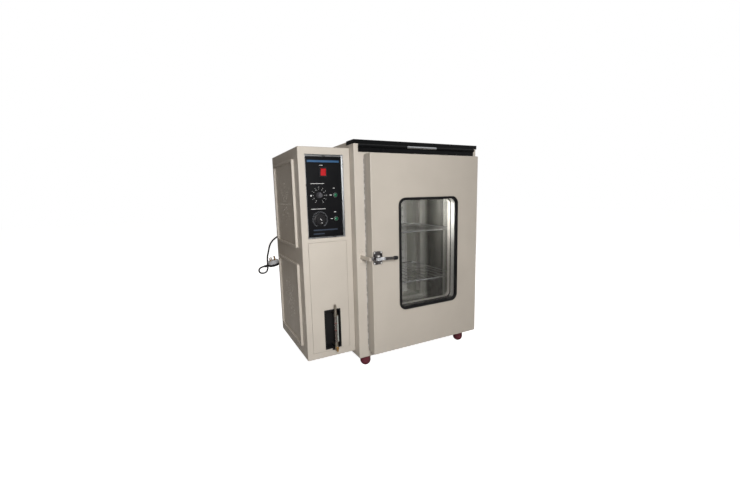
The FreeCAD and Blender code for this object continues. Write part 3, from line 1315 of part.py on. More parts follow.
def cockKey():
    front = s.tubeOut + s.tubeRadius + s.sealGap + s.tubeWall + s.cockRadius * 0.4 + s.sealGap
    body = newBody("cock_key", offset(box, s.tubeX, -front, s.tubeLow + cockLevel))
    pad(body, circle(sketchOn(body, "XZ_Plane"), 0, 0, s.stemRadius), s.cockRadius, True)
    pad(body, circle(sketchOn(body, "XZ_Plane"), 0, 0, s.cockRadius * 0.75), s.cockRadius * 0.5)
    wing = roundedRectangle(sketchOn(body, "XZ_Plane"), -s.stemRadius * 0.9, -s.cockLever * 0.75,
                            s.stemRadius * 1.8, s.cockLever, s.stemRadius * 0.85)
    pad(body, wing, s.sheet * 2)
    return keep(body, "cock_key")


def waterTank():
    at = offset(box, (s.boxWidth - s.tankWide) / 2, s.tankFront, s.tankLow)
    body = newBody("tankShell", at)
    wall = s.tankSheet
    pad(body, rectangle(sketchOn(body, "XY_Plane"), 0, 0, s.tankWide, s.tankDeep), s.tankTall)
    rounded(body, wall * 4, runsAlong(alongZ))
    within = block("tankInside", offset(at, wall, wall, wall),
                   (s.tankWide - 2 * wall, s.tankDeep - 2 * wall, s.tankTall - 2 * wall))
    hollow = less("tankHollow", body, [within])
    piped = fused("tankPiped", [hollow, steamPipe("steamOuter", s.pipeRadius)])
    ports = [rod(f"tankPort{i}", (box[0] + s.tubeX, at[1] - wall, level), alongY, s.stubRadius * 0.6,
                 wall * 3) for i, level in enumerate((lowStub, highStub))]
    heater = rod("tankHeaterPort", heaterHead, alongY, s.heaterTube * 5, s.tankSheet * 3)
    tools = [steamPipe("steamInner", s.pipeRadius - s.pipeWall), heater] + ports
    return keep(less("water_tank", piped, tools), "water_tank")


def tankHeater():
    # A flange on the tank's back wall carries one long hairpin of heater tube
    at = offset(heaterHead, 0, s.tankSheet * 2, 0)
    flange = rod("heaterFlange", at, alongY, s.heaterTube * 7, s.tankSheet * 2)
    boss = rod("heaterBoss", offset(at, 0, -s.tankSheet, 0), alongY, s.heaterTube * 5 - s.pipeGap,
               s.tankSheet)
    x, y, z = (float(value) for value in at)
    half, reach, r = float(s.heaterTube) * 3, float(s.tankDeep) * 0.7, float(s.heaterTube)
    hairpin = Part.Wire([Part.LineSegment(V(x - half, y, z), V(x - half, y - reach, z)).toShape(),
                         Part.Arc(V(x - half, y - reach, z), V(x, y - reach - half, z),
                                  V(x + half, y - reach, z)).toShape(),
                         Part.LineSegment(V(x + half, y - reach, z), V(x + half, y, z)).toShape()])
    loop = doc.addObject("Part::Feature", "tankLoop")
    loop.Shape = tubeAlong(hairpin, r)
    cap = rod("heaterCap", offset(at, 0, s.tankSheet * 2, 0), alongY, s.heaterTube * 4, s.serviceRim * 2)
    return keep(fused("tank_heater", [flange, boss, loop, cap]), "tank_heater")


# Cord, plug and what holds them behind the control box

def cordHook():
    at = offset(cabinet, s.coilX, s.boxSetBack + s.boxDepth, hookLevel)
    body = newBody("cord_hook", at)
    plate = roundedRectangle(sketchOn(body, "XZ_Plane"), -12, -14, 24, 28, 4)
    pad(body, plate, s.sheet * 1.5, True)
    arm = circle(sketchOn(body, "XZ_Plane"), 0, 0, s.hookRadius)
    pad(body, arm, s.hookReach, True)
    tip = sketchOn(body, "XY_Plane")
    circle(tip, 0, s.hookReach - s.hookRadius, s.hookRadius)
    pad(body, tip, s.hookRadius * 3)
    return keep(body, "cord_hook")


def cableGland():
    at = offset(cabinet, s.glandX, s.boxSetBack + s.boxDepth, s.glandZ)
    body = newBody("cable_gland", at)
    r, bore, long = s.glandRadius, s.cordRadius + s.runningGap, s.glandLength
    profile = [(bore, -s.sheet * 4), (r * 0.7, -s.sheet * 4), (r * 0.7, 0), (r, 0), (r, long * 0.3),
               (r * 0.8, long * 0.4), (bore + 1, long), (bore, long)]
    turned(body, outline(sketchOn(body, "YZ_Plane"), [(y, z) for z, y in profile]), "Y_Axis")
    return keep(body, "cable_gland")


def roundedRoute(points, name):
    # Straight runs joined by tangent arcs; each arc is as large as its two runs allow
    spots = [V(*point) for point in points]
    edges, radii = [], []
    last = spots[0]
    for before, corner, after in zip(spots, spots[1:], spots[2:]):
        inward = (before - corner).normalize()
        onward = (after - corner).normalize()
        turn = math.pi - inward.getAngle(onward)
        reach = 0.45 * min((before - corner).Length, (after - corner).Length)
        radius = reach / math.tan(turn / 2)
        radii.append(radius)
        start, end = corner + inward * reach, corner + onward * reach
        centre = corner + (inward + onward).normalize() * (radius / math.cos(turn / 2))
        middle = centre + (corner - centre).normalize() * radius
        edges.append(Part.LineSegment(last, start).toShape())
        edges.append(Part.Arc(start, middle, end).toShape())
        last = end
    edges.append(Part.LineSegment(last, spots[-1]).toShape())
    print(name, "radii in mm:", ", ".join(f"{radius:.0f}" for radius in radii))
    return Part.Wire(edges)


def cordTube(name, points):
    wire = roundedRoute([(float(cabinet[0]) + x, float(cabinet[1]) + y, float(cabinet[2]) + z)
                         for x, y, z in points], name)
    radius = float(s.cordRadius)
    shape = tubeAlong(wire, radius)
    expected = math.pi * radius * radius * wire.Length
    assert abs(shape.Volume - expected) < expected * 0.01, name
    print(name, "length in mm:", round(wire.Length))
    thing = doc.addObject("Part::Feature", name)
    thing.Shape = shape
    return thing


def cordCoil():
    body = newBody("cord_coil", offset(cabinet, s.coilX, s.boxSetBack + s.boxDepth + s.coilOut, s.coilZ))
    inner, outer, half = s.coilRadius - s.coilThick / 2, s.coilRadius + s.coilThick / 2, s.coilWide / 2
    profile = [(inner, -half), (outer, -half), (outer, half), (inner, half)]
    turned(body, outline(sketchOn(body, "XY_Plane"), profile), "Y_Axis")
    rounded(body, s.cordRadius, lambda edge: True)
    return keep(body, "cord_coil")


def turnedBody(name, at):
    # A body laid over by the plug's lean
    body = newBody(name, at)
    lean = FreeCAD.Rotation(alongY, -float(s.plugLean))
    body.Placement.Rotation = lean.multiply(FreeCAD.Rotation(alongZ, -float(s.plugTurn)))
    return body


def plug():
    # A round-pin plug lying face up: two shells, a tapered boot at the left, three pins
    spot = offset(cabinet, s.plugX, s.plugY, s.plugZ)
    r, thick = s.plugRadius, s.plugThick
    face = turnedBody("plug_body", spot)
    pad(face, circle(sketchOn(face, "XY_Plane"), 0, 0, r), thick)
    rounded(face, thick / 5, liesAt(alongZ, thick))
    slots = sketchOn(face, "XY_Plane", thick)
    for y in (-9, 9):
        rectangle(slots, -4, y - 2, 8, 4)
    pocket(face, slots, 1)
    keep(face, "plug_body")
    shell = turnedBody("plugShell", spot)
    pad(shell, circle(sketchOn(shell, "XY_Plane"), 0, 0, r + 1), thick * 0.7, True)
    rounded(shell, thick / 4, liesAt(alongZ, -thick * 0.7))
    boot = turnedBody("plugBoot", offset(spot, 0, 0, 0))
    wide = s.cordRadius
    level = -thick * 0.35
    end, entry = -r - s.bootLength, wide + s.pipeGap / 4
    profile = [(-r * 0.8, level - wide * 1.4), (end * 0.8, level - wide * 1.55), (end, level - wide * 1.45),
               (end, level - entry), (end + s.bootEntry, level - entry), (end + s.bootEntry, level),
               (-r * 0.8, level)]
    bootSketch = outline(sketchOn(boot, "XZ_Plane"), profile)
    spun = boot.newObject("PartDesign::Revolution", "plugBootTurned")
    spun.Profile = bootSketch
    spun.ReferenceAxis = (bootSketch, ["Edge6"])
    spun.Angle = 360
    doc.recompute()
    keep(fused("plug_cover", [shell, boot]), "plug_cover")
    pins = []
    for i, (x, y, radius, long) in enumerate(((11, 0, 3.5, 20), (-9, 9.5, 2.6, 15), (-9, -9.5, 2.6, 15))):
        body = turnedBody(f"plugPin{i}", spot)
        pad(body, circle(sketchOn(body, "XY_Plane", thick), x, y, radius), long)
        bevelled(body, 1, liesAt(alongZ, thick + long))
        pins.append(body)
    keep(together("plug_pins", pins), "plug_pins")


def cords():
    back = float(s.boxSetBack + s.boxDepth)
    x, z = float(s.glandX), float(s.glandZ)
    coil = (float(s.coilX), back + float(s.coilOut), float(s.coilZ))
    clear = float(s.coilRadius + s.coilThick / 2 + s.cordRadius + s.sealGap)
    lead = cordTube("cordLead", [(x, back - 4, z), (x, back + 46, z), (x + 4, back + 46, z - 52),
                                 (coil[0] + clear, back + 16, coil[2] + 5),
                                 (coil[0] + clear, coil[1], coil[2] - 10)])
    tail = cordTube("cordTail", [(coil[0], coil[1], coil[2] + clear), (-140, 457, coil[2] + clear - 4),
                                 (-174, 460, 478), (-200, 466, 460), (-217, 470, 447), (-230, 478, 425),
                                 (-236, 488, 391), (-242, 497, 361), (-240, 500, 291), (-282, 497, 289),
                                 (-282.1, 508.5, 317.7), (-254.1, 492, 323.6)])
    keep(together("cord_runs", [lead, tail]), "cord_runs")


# Sizes that follow from the ones above
fasciaCorner = offset(cabinet, s.fasciaInset, 0, s.casingHeight + s.capSheet - s.capSkirt - s.fasciaHeight)
noseBulge = (s.fasciaHeight - s.fasciaFlat) / 2
noseDepth = s.fasciaNose - s.fasciaSkin
noseRadius = (noseDepth * noseDepth + noseBulge * noseBulge) / (2 * noseDepth)
highStub = box[2] + s.gaugeLow + s.gaugeTall - s.gaugeEdge - s.stubRadius
lowStub = box[2] + s.gaugeLow + s.gaugeEdge + s.stubRadius
cockLevel = -s.cockDrop
heaterHead = (box[0] + s.boxWidth / 2, box[1] + s.tankFront + s.tankDeep - s.tankSheet * 2, box[2] + 30)
pipeX = box[0] + s.boxWidth * 0.7
pipeY = box[1] + s.boxDepth * 0.5
tankTop = box[2] + s.tankLow + s.tankTall
pipeZ = tankTop + s.pipeBend * 2.6
motorFace = cabinet[1] + s.cabinetDepth - s.backInset - s.sheet - s.motorLength - s.sheet * 2
glassFront = s.sealGap + 0
glassBack = glassFront + s.glassThick + 2 * s.sealGap
innerSealFront = s.doorThick * 0.54
innerSealBack = innerSealFront + s.innerGlassThick + 2.4
boltBack = s.plateThick + s.boltGap
toeX = -s.toeRadius * sine(s.toeLean)
hookLevel = s.coilZ + s.coilRadius - s.coilThick / 2 - s.hookRadius - s.sealGap


def buildAll():
    outerCasing()
    backPanel()
    innerLiner()
    insulation()
    topCap()
    fascia()
    badgePlate()
    feet()
    shelfRails()
    shelves()
    airBaffle()
    fanWheel()
    fanMotor()
    heaterRing()
    doorOuter()
    doorInner()
    doorWool()
    windowGasket()
    pane("window_glass_outer", glassFront + s.sealGap, s.glassThick, s.windowBand - s.glassBite / 3)
    windowReveal()
    innerSeal()
    pane("window_glass_inner", innerSealFront + 1.2, s.innerGlassThick, s.glassBite / 2 + s.sealGap)
    doorGasket()
    frameLeaves()
    doorLeaves()
    hingePins()
    latchPlate()
    latchFixings()
    latchBolt()
    latchHandle()
    handleGrip()
    strikePlate()
    controlCasing()
    controlBack()
    serviceCover()
    ventCovers()
    panelBezel()
    controlPanel()
    panelScrews()
    switchFrame()
    rocker()
    knob("thermostat_knob", s.upperRow, s.smallKnob, s.smallKnobDeep, 12)
    knob("humidity_knob", s.lowerRow, s.bigKnob, s.bigKnobDeep, 16)
    controllerBodies()
    lampBezels()
    lampLenses()
    gaugeEdging()
    sightTube()
    gaugeFittings()
    cockKey()
    waterTank()
    tankHeater()
    cordHook()
    cableGland()
    cordCoil()
    cords()
    plug()


def checkAll():
    doc.recompute()
    for thing in doc.Objects:
        assert not {"Invalid", "Error"} & set(thing.State), thing.Label
    for thing in nodes:
        assert not thing.Shape.isNull() and thing.Shape.isValid() and thing.Shape.Solids, thing.Label


def writeAll():
    os.makedirs("parts", exist_ok=True)
    for thing in nodes:
        thing.Shape.exportStep(f"parts/{thing.Label}.step")
    print(len(nodes), "nodes written")


buildAll()
checkAll()
writeAll()
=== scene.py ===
import math

import bmesh
import bpy
from mathutils import Matrix, Vector


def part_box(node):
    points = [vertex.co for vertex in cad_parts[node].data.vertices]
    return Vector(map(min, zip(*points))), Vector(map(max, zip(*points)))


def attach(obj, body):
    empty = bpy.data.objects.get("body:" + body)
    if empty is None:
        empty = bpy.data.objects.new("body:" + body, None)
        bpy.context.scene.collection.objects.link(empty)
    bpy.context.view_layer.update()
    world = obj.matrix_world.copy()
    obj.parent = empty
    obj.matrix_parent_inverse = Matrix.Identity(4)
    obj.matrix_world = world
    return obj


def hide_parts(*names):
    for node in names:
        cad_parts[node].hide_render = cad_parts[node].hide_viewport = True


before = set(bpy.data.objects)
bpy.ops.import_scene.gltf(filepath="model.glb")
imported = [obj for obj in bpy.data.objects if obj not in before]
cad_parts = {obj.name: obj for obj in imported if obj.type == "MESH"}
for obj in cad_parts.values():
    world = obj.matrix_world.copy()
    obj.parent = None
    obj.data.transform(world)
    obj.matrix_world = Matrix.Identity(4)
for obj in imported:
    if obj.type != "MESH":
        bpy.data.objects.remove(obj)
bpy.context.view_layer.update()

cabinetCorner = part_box("outer_casing")[0]     # front, left, bottom: every place is given from here
print("frame loaded:", len(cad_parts), "nodes")


def spot(x, y, z):
    # a point in millimetres from the casing's corner, as metres in the frame
    return cabinetCorner + Vector((x, y, z)) / 1000


def millimetres(point):
    # a place in the frame, given back from the casing's corner
    return (Vector(point) - cabinetCorner) * 1000


def tone(r, g, b):
    # a colour as a paint chart gives it, 0 to 255
    def level(v):
        v /= 255
        return v / 12.92 if v <= 0.04045 else ((v + 0.055) / 1.055) ** 2.4
    return (level(r), level(g), level(b), 1.0)


# Camera, at the photograph's viewing angle. Angles are in radians, the focal length in pixels
cameraSetup = {
    "place": (-559.7, -1204.7, 643.9),
    "yaw": 0.4736,
    "pitch": 0.1488,
    "roll": 0.0246,
    "focalLength": 351.72,
    "pictureWidth": 740,
    "filmWidth": 36,
}


def placeCamera(setup):
    yaw, pitch, roll = setup["yaw"], setup["pitch"], setup["roll"]
    ahead = Vector((math.sin(yaw) * math.cos(pitch), math.cos(yaw) * math.cos(pitch),
                    -math.sin(pitch)))
    level = Vector((math.cos(yaw), -math.sin(yaw), 0))
    under = ahead.cross(level)
    side = level * math.cos(roll) + under * math.sin(roll)
    down = under * math.cos(roll) - level * math.sin(roll)
    data = bpy.data.cameras.new("camera")
    data.lens = setup["focalLength"] / setup["pictureWidth"] * setup["filmWidth"]
    data.sensor_width = setup["filmWidth"]
    data.clip_end = 50
    camera = bpy.data.objects.new("camera", data)
    bpy.context.scene.collection.objects.link(camera)
    turn = Matrix((side, -down, -ahead)).transposed().to_4x4()
    camera.matrix_world = Matrix.Translation(spot(*setup["place"])) @ turn
    bpy.context.scene.camera = camera


placeCamera(cameraSetup)
print("camera placed")


# Mains cord: gland, a short lead, five turns hung on the hook, then the tail round to the plug
cord = {
    "diameter": 0.0075,
    "length": 1.8,
    "coilCentre": (-110, 456, 435),
    "turns": 5,
    "stepsAround": 14,
    "overlap": 3,
    # each turn's radius and how far it lies behind the coil's middle
    "lanes": [(49, 4), (41.5, 4), (34, 4), (34, -4), (41.5, -4), (49, -4), (49, -4)],
    "lead": [(-62, 446, 530), (-62, 488, 530), (-58, 488, 478), (-52.7, 458, 440)],
    "tail": [(-140, 457, 488), (-174, 460, 478), (-200, 466, 460), (-217, 470, 447), (-230, 478, 425),
             (-236, 488, 391), (-242, 497, 361), (-240, 500, 291), (-282, 497, 289),
             (-282.1, 508.5, 317.7), (-254.1, 492, 323.6)],
}


def coilPoints(setup):
    # turns lie beside and on each other, going down at the right and up at the left
    cx, cy, cz = setup["coilCentre"]
    lanes, around = setup["lanes"], setup["stepsAround"]
    points = []
    for i in range(setup["turns"] * around + setup["overlap"]):
        angle = -2 * math.pi * i / around
        low = i // around
        share = i / around - low
        smooth = share * share * (3 - 2 * share)
        a, b = lanes[low], lanes[min(low + 1, len(lanes) - 1)]
        radius = a[0] + (b[0] - a[0]) * smooth
        side = a[1] + (b[1] - a[1]) * smooth
        points.append((cx + radius * math.cos(angle), cy + side, cz + radius * math.sin(angle)))
    return points


def smoothCurve(name, points, thickness):
    data = bpy.data.curves.new(name, "CURVE")
    data.dimensions = "3D"
    line = data.splines.new("NURBS")
    line.points.add(len(points) - 1)
    for knot, point in zip(line.points, points):
        knot.co = (*spot(*point), 1)
        knot.radius = thickness / 2     # the curve's own box is as thick as the cord
    line.order_u = 3
    line.use_endpoint_u = True
    line.resolution_u = 8
    data.bevel_depth = 1.0     # shared out by each knot's radius
    data.bevel_resolution = 5
    data.use_fill_caps = True
    piece = bpy.data.objects.new(name, data)
    bpy.context.scene.collection.objects.link(piece)
    return piece


route = cord["lead"] + coilPoints(cord) + cord["tail"]
mainsCord = smoothCurve("mains_cord", route, cord["diameter"])
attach(mainsCord, "cabinet")
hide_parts("cord_runs", "cord_coil")
print("cord routed")


# Finishes
def blank(name):
    material = bpy.data.materials.new(name)
    material.use_nodes = True
    nodes = material.node_tree.nodes
    return material, nodes, material.node_tree.links, nodes["Principled BSDF"]


def noise(nodes, links, scale, detail=3, stretch=None, rough=0.5):
    place = nodes.new("ShaderNodeTexCoord")
    texture = nodes.new("ShaderNodeTexNoise")
    texture.inputs["Scale"].default_value = scale
    texture.inputs["Detail"].default_value = detail
    texture.inputs["Roughness"].default_value = rough
    if stretch:
        mapping = nodes.new("ShaderNodeMapping")
        mapping.inputs["Scale"].default_value = stretch
        links.new(place.outputs["Object"], mapping.inputs["Vector"])
        links.new(mapping.outputs["Vector"], texture.inputs["Vector"])
    else:
        links.new(place.outputs["Object"], texture.inputs["Vector"])
    return texture


def spread(nodes, links, source, low, high, fromLow=0.3, fromHigh=0.7):
    span = nodes.new("ShaderNodeMapRange")
    span.inputs["From Min"].default_value = fromLow
    span.inputs["From Max"].default_value = fromHigh
    span.inputs["To Min"].default_value = low
    span.inputs["To Max"].default_value = high
    links.new(source, span.inputs["Value"])
    return span.outputs["Result"]


def colourBetween(nodes, links, source, first, second, low=0.35, high=0.65):
    ramp = nodes.new("ShaderNodeValToRGB")
    ramp.color_ramp.elements[0].position = low
    ramp.color_ramp.elements[0].color = first
    ramp.color_ramp.elements[1].position = high
    ramp.color_ramp.elements[1].color = second
    links.new(source, ramp.inputs["Fac"])
    return ramp.outputs["Color"]


def placeAlong(nodes, links, axis, start, end):
    # from 0 to 1 along one axis of the frame
    place = nodes.new("ShaderNodeTexCoord")
    parts = nodes.new("ShaderNodeSeparateXYZ")
    links.new(place.outputs["Object"], parts.inputs["Vector"])
    return spread(nodes, links, parts.outputs[axis], 0, 1, start, end)


def bandsAlong(nodes, links, source, stops, colour):
    # a ramp of one colour's shades: each stop is where it lies and its share of the colour
    ramp = nodes.new("ShaderNodeValToRGB")
    elements = ramp.color_ramp.elements
    while len(elements) < len(stops):
        elements.new(0.5)
    for element, (where, share) in zip(elements, stops):
        element.position = where
        element.color = scaled(colour, share)
    links.new(source, ramp.inputs["Fac"])
    return ramp.outputs["Color"]


def addBump(nodes, links, shader, source, strength, distance=0.0005):
    bump = nodes.new("ShaderNodeBump")
    bump.inputs["Strength"].default_value = strength
    bump.inputs["Distance"].default_value = distance
    links.new(source, bump.inputs["Height"])
    links.new(bump.outputs["Normal"], shader.inputs["Normal"])


def scaled(colour, share):
    return tuple(min(1, c * share) for c in colour[:3]) + (1.0,)


def unevenColour(nodes, links, shader, texture, colour, dark, light, low=0.35, high=0.65):
    shade = colourBetween(nodes, links, texture.outputs["Fac"], scaled(colour, dark),
                          scaled(colour, light), low, high)
    links.new(shade, shader.inputs["Base Color"])


def unevenRoughness(nodes, links, shader, texture, low, high):
    links.new(spread(nodes, links, texture.outputs["Fac"], low, high), shader.inputs["Roughness"])


def enamel(name, colour, rough=0.38, vary=0.035, peel=0.10, specular=0.4):
    # stove enamel: barely uneven in shade, with a fine orange peel
    material, nodes, links, shader = blank(name)
    unevenColour(nodes, links, shader, noise(nodes, links, 5, 4), colour, 1 - vary, 1 + vary)
    streak = noise(nodes, links, 30, 5)
    unevenRoughness(nodes, links, shader, streak, rough - 0.05, rough + 0.06)
    addBump(nodes, links, shader, noise(nodes, links, 620, 2).outputs["Fac"], peel, 0.0002)
    shader.inputs["Specular IOR Level"].default_value = specular
    return material


def metal(name, colour, rough=0.18, stretch=(1, 1, 1), vary=0.08, scratch=0.05, fine=160, bare=1.0):
    # bare or plated metal with fine lines; bare is how metallic it shows
    material, nodes, links, shader = blank(name)
    shader.inputs["Metallic"].default_value = bare
    line = noise(nodes, links, fine, 4, stretch, 0.65)
    unevenColour(nodes, links, shader, line, colour, 1 - vary, 1 + vary)
    unevenRoughness(nodes, links, shader, line, rough * 0.75, rough * 1.35)
    addBump(nodes, links, shader, line.outputs["Fac"], scratch, 0.0002)
    return material


def moulded(name, colour, rough=0.45, grain=0.12, scale=900, vary=0.08, specular=0.5):
    # plastic, rubber and ink, with a fine grain
    material, nodes, links, shader = blank(name)
    cloud = noise(nodes, links, 22, 4)
    unevenColour(nodes, links, shader, cloud, colour, 1 - vary, 1 + vary)
    unevenRoughness(nodes, links, shader, cloud, rough - 0.06, rough + 0.06)
    addBump(nodes, links, shader, noise(nodes, links, scale, 3).outputs["Fac"], grain, 0.0003)
    shader.inputs["Specular IOR Level"].default_value = specular
    return material


def clearGlass(name, colour, rough=0.01):
    # thin clean plate that lets lamplight through, with the faintest haze of handling
    material, nodes, links, shader = blank(name)
    shader.inputs["Transmission Weight"].default_value = 1.0
    shader.inputs["Alpha"].default_value = 0.1
    shader.inputs["IOR"].default_value = 1.45
    smear = noise(nodes, links, 9, 4)
    unevenRoughness(nodes, links, shader, smear, rough, rough + 0.03)
    unevenColour(nodes, links, shader, smear, colour, 1, 0.99)
    return material


def hazyTube(name, colour, clear):
    # old clear plastic, browned and hazy with lime
    material, nodes, links, shader = blank(name)
    lime = noise(nodes, links, 60, 5, (1, 1, 0.2))
    unevenColour(nodes, links, shader, lime, colour, 0.7, 1.15)
    unevenRoughness(nodes, links, shader, lime, 0.12, 0.35)
    shader.inputs["Transmission Weight"].default_value = 0.4
    shader.inputs["IOR"].default_value = 1.48
    shader.inputs["Alpha"].default_value = clear
    return material


def polishedSheet(name, colour):
    # bright rolled sheet: upright bands of painted reflection where one sheet would mirror the next,
    # painted light that makes it lighter towards the top, and fine rolling lines
    material, nodes, links, shader = blank(name)
    shader.inputs["Metallic"].default_value = 0.4
    shader.inputs["Specular IOR Level"].default_value = 0.2
    # painted reflection: bright and dark upright bands across the chamber, from front to back
    stops = [(0.0, 0.9), (0.10, 0.9), (0.13, 0.25), (0.17, 1.0), (0.22, 0.3), (0.27, 1.0), (0.29, 0.05),
             (0.55, 0.03), (0.60, 0.5), (0.68, 0.95), (0.74, 0.4), (0.86, 1.0), (1.0, 1.0)]
    inward = placeAlong(nodes, links, "Y", -0.2406, 0.2144)
    shade = bandsAlong(nodes, links, inward, stops, colour)
    line = noise(nodes, links, 14, 4, (8, 8, 0.4), 0.6)
    rolled = colourBetween(nodes, links, line.outputs["Fac"], (0.8, 0.8, 0.8, 1), (1, 1, 1, 1))
    # painted light: the sheet's colour grows lighter towards the top
    height = placeAlong(nodes, links, "Z", 0.42, 0.72)
    paintedTopLight = colourBetween(nodes, links, height, (0.72, 0.73, 0.71, 1), (1, 1, 1, 1), 0.0, 1.0)
    for other in (rolled, paintedTopLight):
        tint = nodes.new("ShaderNodeMix")
        tint.data_type = "RGBA"
        tint.blend_type = "MULTIPLY"
        tint.inputs["Factor"].default_value = 1.0
        links.new(shade, tint.inputs["A"])
        links.new(other, tint.inputs["B"])
        shade = tint.outputs["Result"]
    links.new(shade, shader.inputs["Base Color"])
    unevenRoughness(nodes, links, shader, line, 0.07, 0.13)
    addBump(nodes, links, shader, line.outputs["Fac"], 0.06, 0.0002)
    return material


def revealSheet(name, colour):
    # the bright strip round the window's opening, with painted shade along its sill and painted light
    # towards its top
    material, nodes, links, shader = blank(name)
    shader.inputs["Metallic"].default_value = 0.25
    low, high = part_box("window_reveal")
    # painted shade at the sill, an even middle, then painted light rising to full brightness near the top
    stops = [(0.0, 0.03), (0.035, 0.04), (0.05, 0.4), (0.55, 0.4), (0.85, 1.0)]
    rise = placeAlong(nodes, links, "Z", low.z, high.z)
    links.new(bandsAlong(nodes, links, rise, stops, colour), shader.inputs["Base Color"])
    line = noise(nodes, links, 60, 4, (1, 1, 6), 0.6)
    unevenRoughness(nodes, links, shader, line, 0.14, 0.26)
    addBump(nodes, links, shader, line.outputs["Fac"], 0.05, 0.0002)
    return material


def keeperSteel(name, arm, plate):
    # pale plating, a little darker on the arm out in front of the casing than on the plate against it
    material, nodes, links, shader = blank(name)
    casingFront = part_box("outer_casing")[0].y
    nearCasing = placeAlong(nodes, links, "Y", casingFront - 0.012, casingFront - 0.003)
    links.new(colourBetween(nodes, links, nearCasing, arm, plate, 0.2, 0.9), shader.inputs["Base Color"])
    line = noise(nodes, links, 80, 4)
    unevenRoughness(nodes, links, shader, line, 0.3, 0.48)
    shader.inputs["Metallic"].default_value = 0.35
    addBump(nodes, links, shader, line.outputs["Fac"], 0.05, 0.0002)
    return material


def leverSteel(name, hubHighlight, shank):
    # the lever's boss carries a bright, bluish painted highlight; its shank is darker
    material, nodes, links, shader = blank(name)
    low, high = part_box("latch_plate")
    middle = (low.x + high.x) / 2
    along = placeAlong(nodes, links, "X", middle, middle + 0.026)
    links.new(colourBetween(nodes, links, along, hubHighlight, shank, 0.35, 0.75), shader.inputs["Base Color"])
    line = noise(nodes, links, 60, 4)
    unevenRoughness(nodes, links, shader, line, 0.2, 0.34)
    shader.inputs["Metallic"].default_value = 0.6
    addBump(nodes, links, shader, line.outputs["Fac"], 0.04, 0.0002)
    return material


def crinkledSeal(name, colour):
    # soft seal under a silvered skin that has wrinkled
    material, nodes, links, shader = blank(name)
    fold = noise(nodes, links, 70, 5, (1, 1, 1), 0.6)
    unevenColour(nodes, links, shader, fold, colour, 0.45, 1.2, 0.4, 0.6)
    unevenRoughness(nodes, links, shader, fold, 0.3, 0.6)
    shader.inputs["Metallic"].default_value = 0.35
    addBump(nodes, links, shader, fold.outputs["Fac"], 0.9, 0.003)
    return material


def woolPack(name, colour):
    # glass wool, combed one way
    material, nodes, links, shader = blank(name)
    fibre = noise(nodes, links, 240, 6, (1, 6, 1), 0.7)
    unevenColour(nodes, links, shader, fibre, colour, 0.7, 1.15)
    unevenRoughness(nodes, links, shader, fibre, 0.85, 1.0)
    addBump(nodes, links, shader, fibre.outputs["Fac"], 0.6, 0.002)
    return material


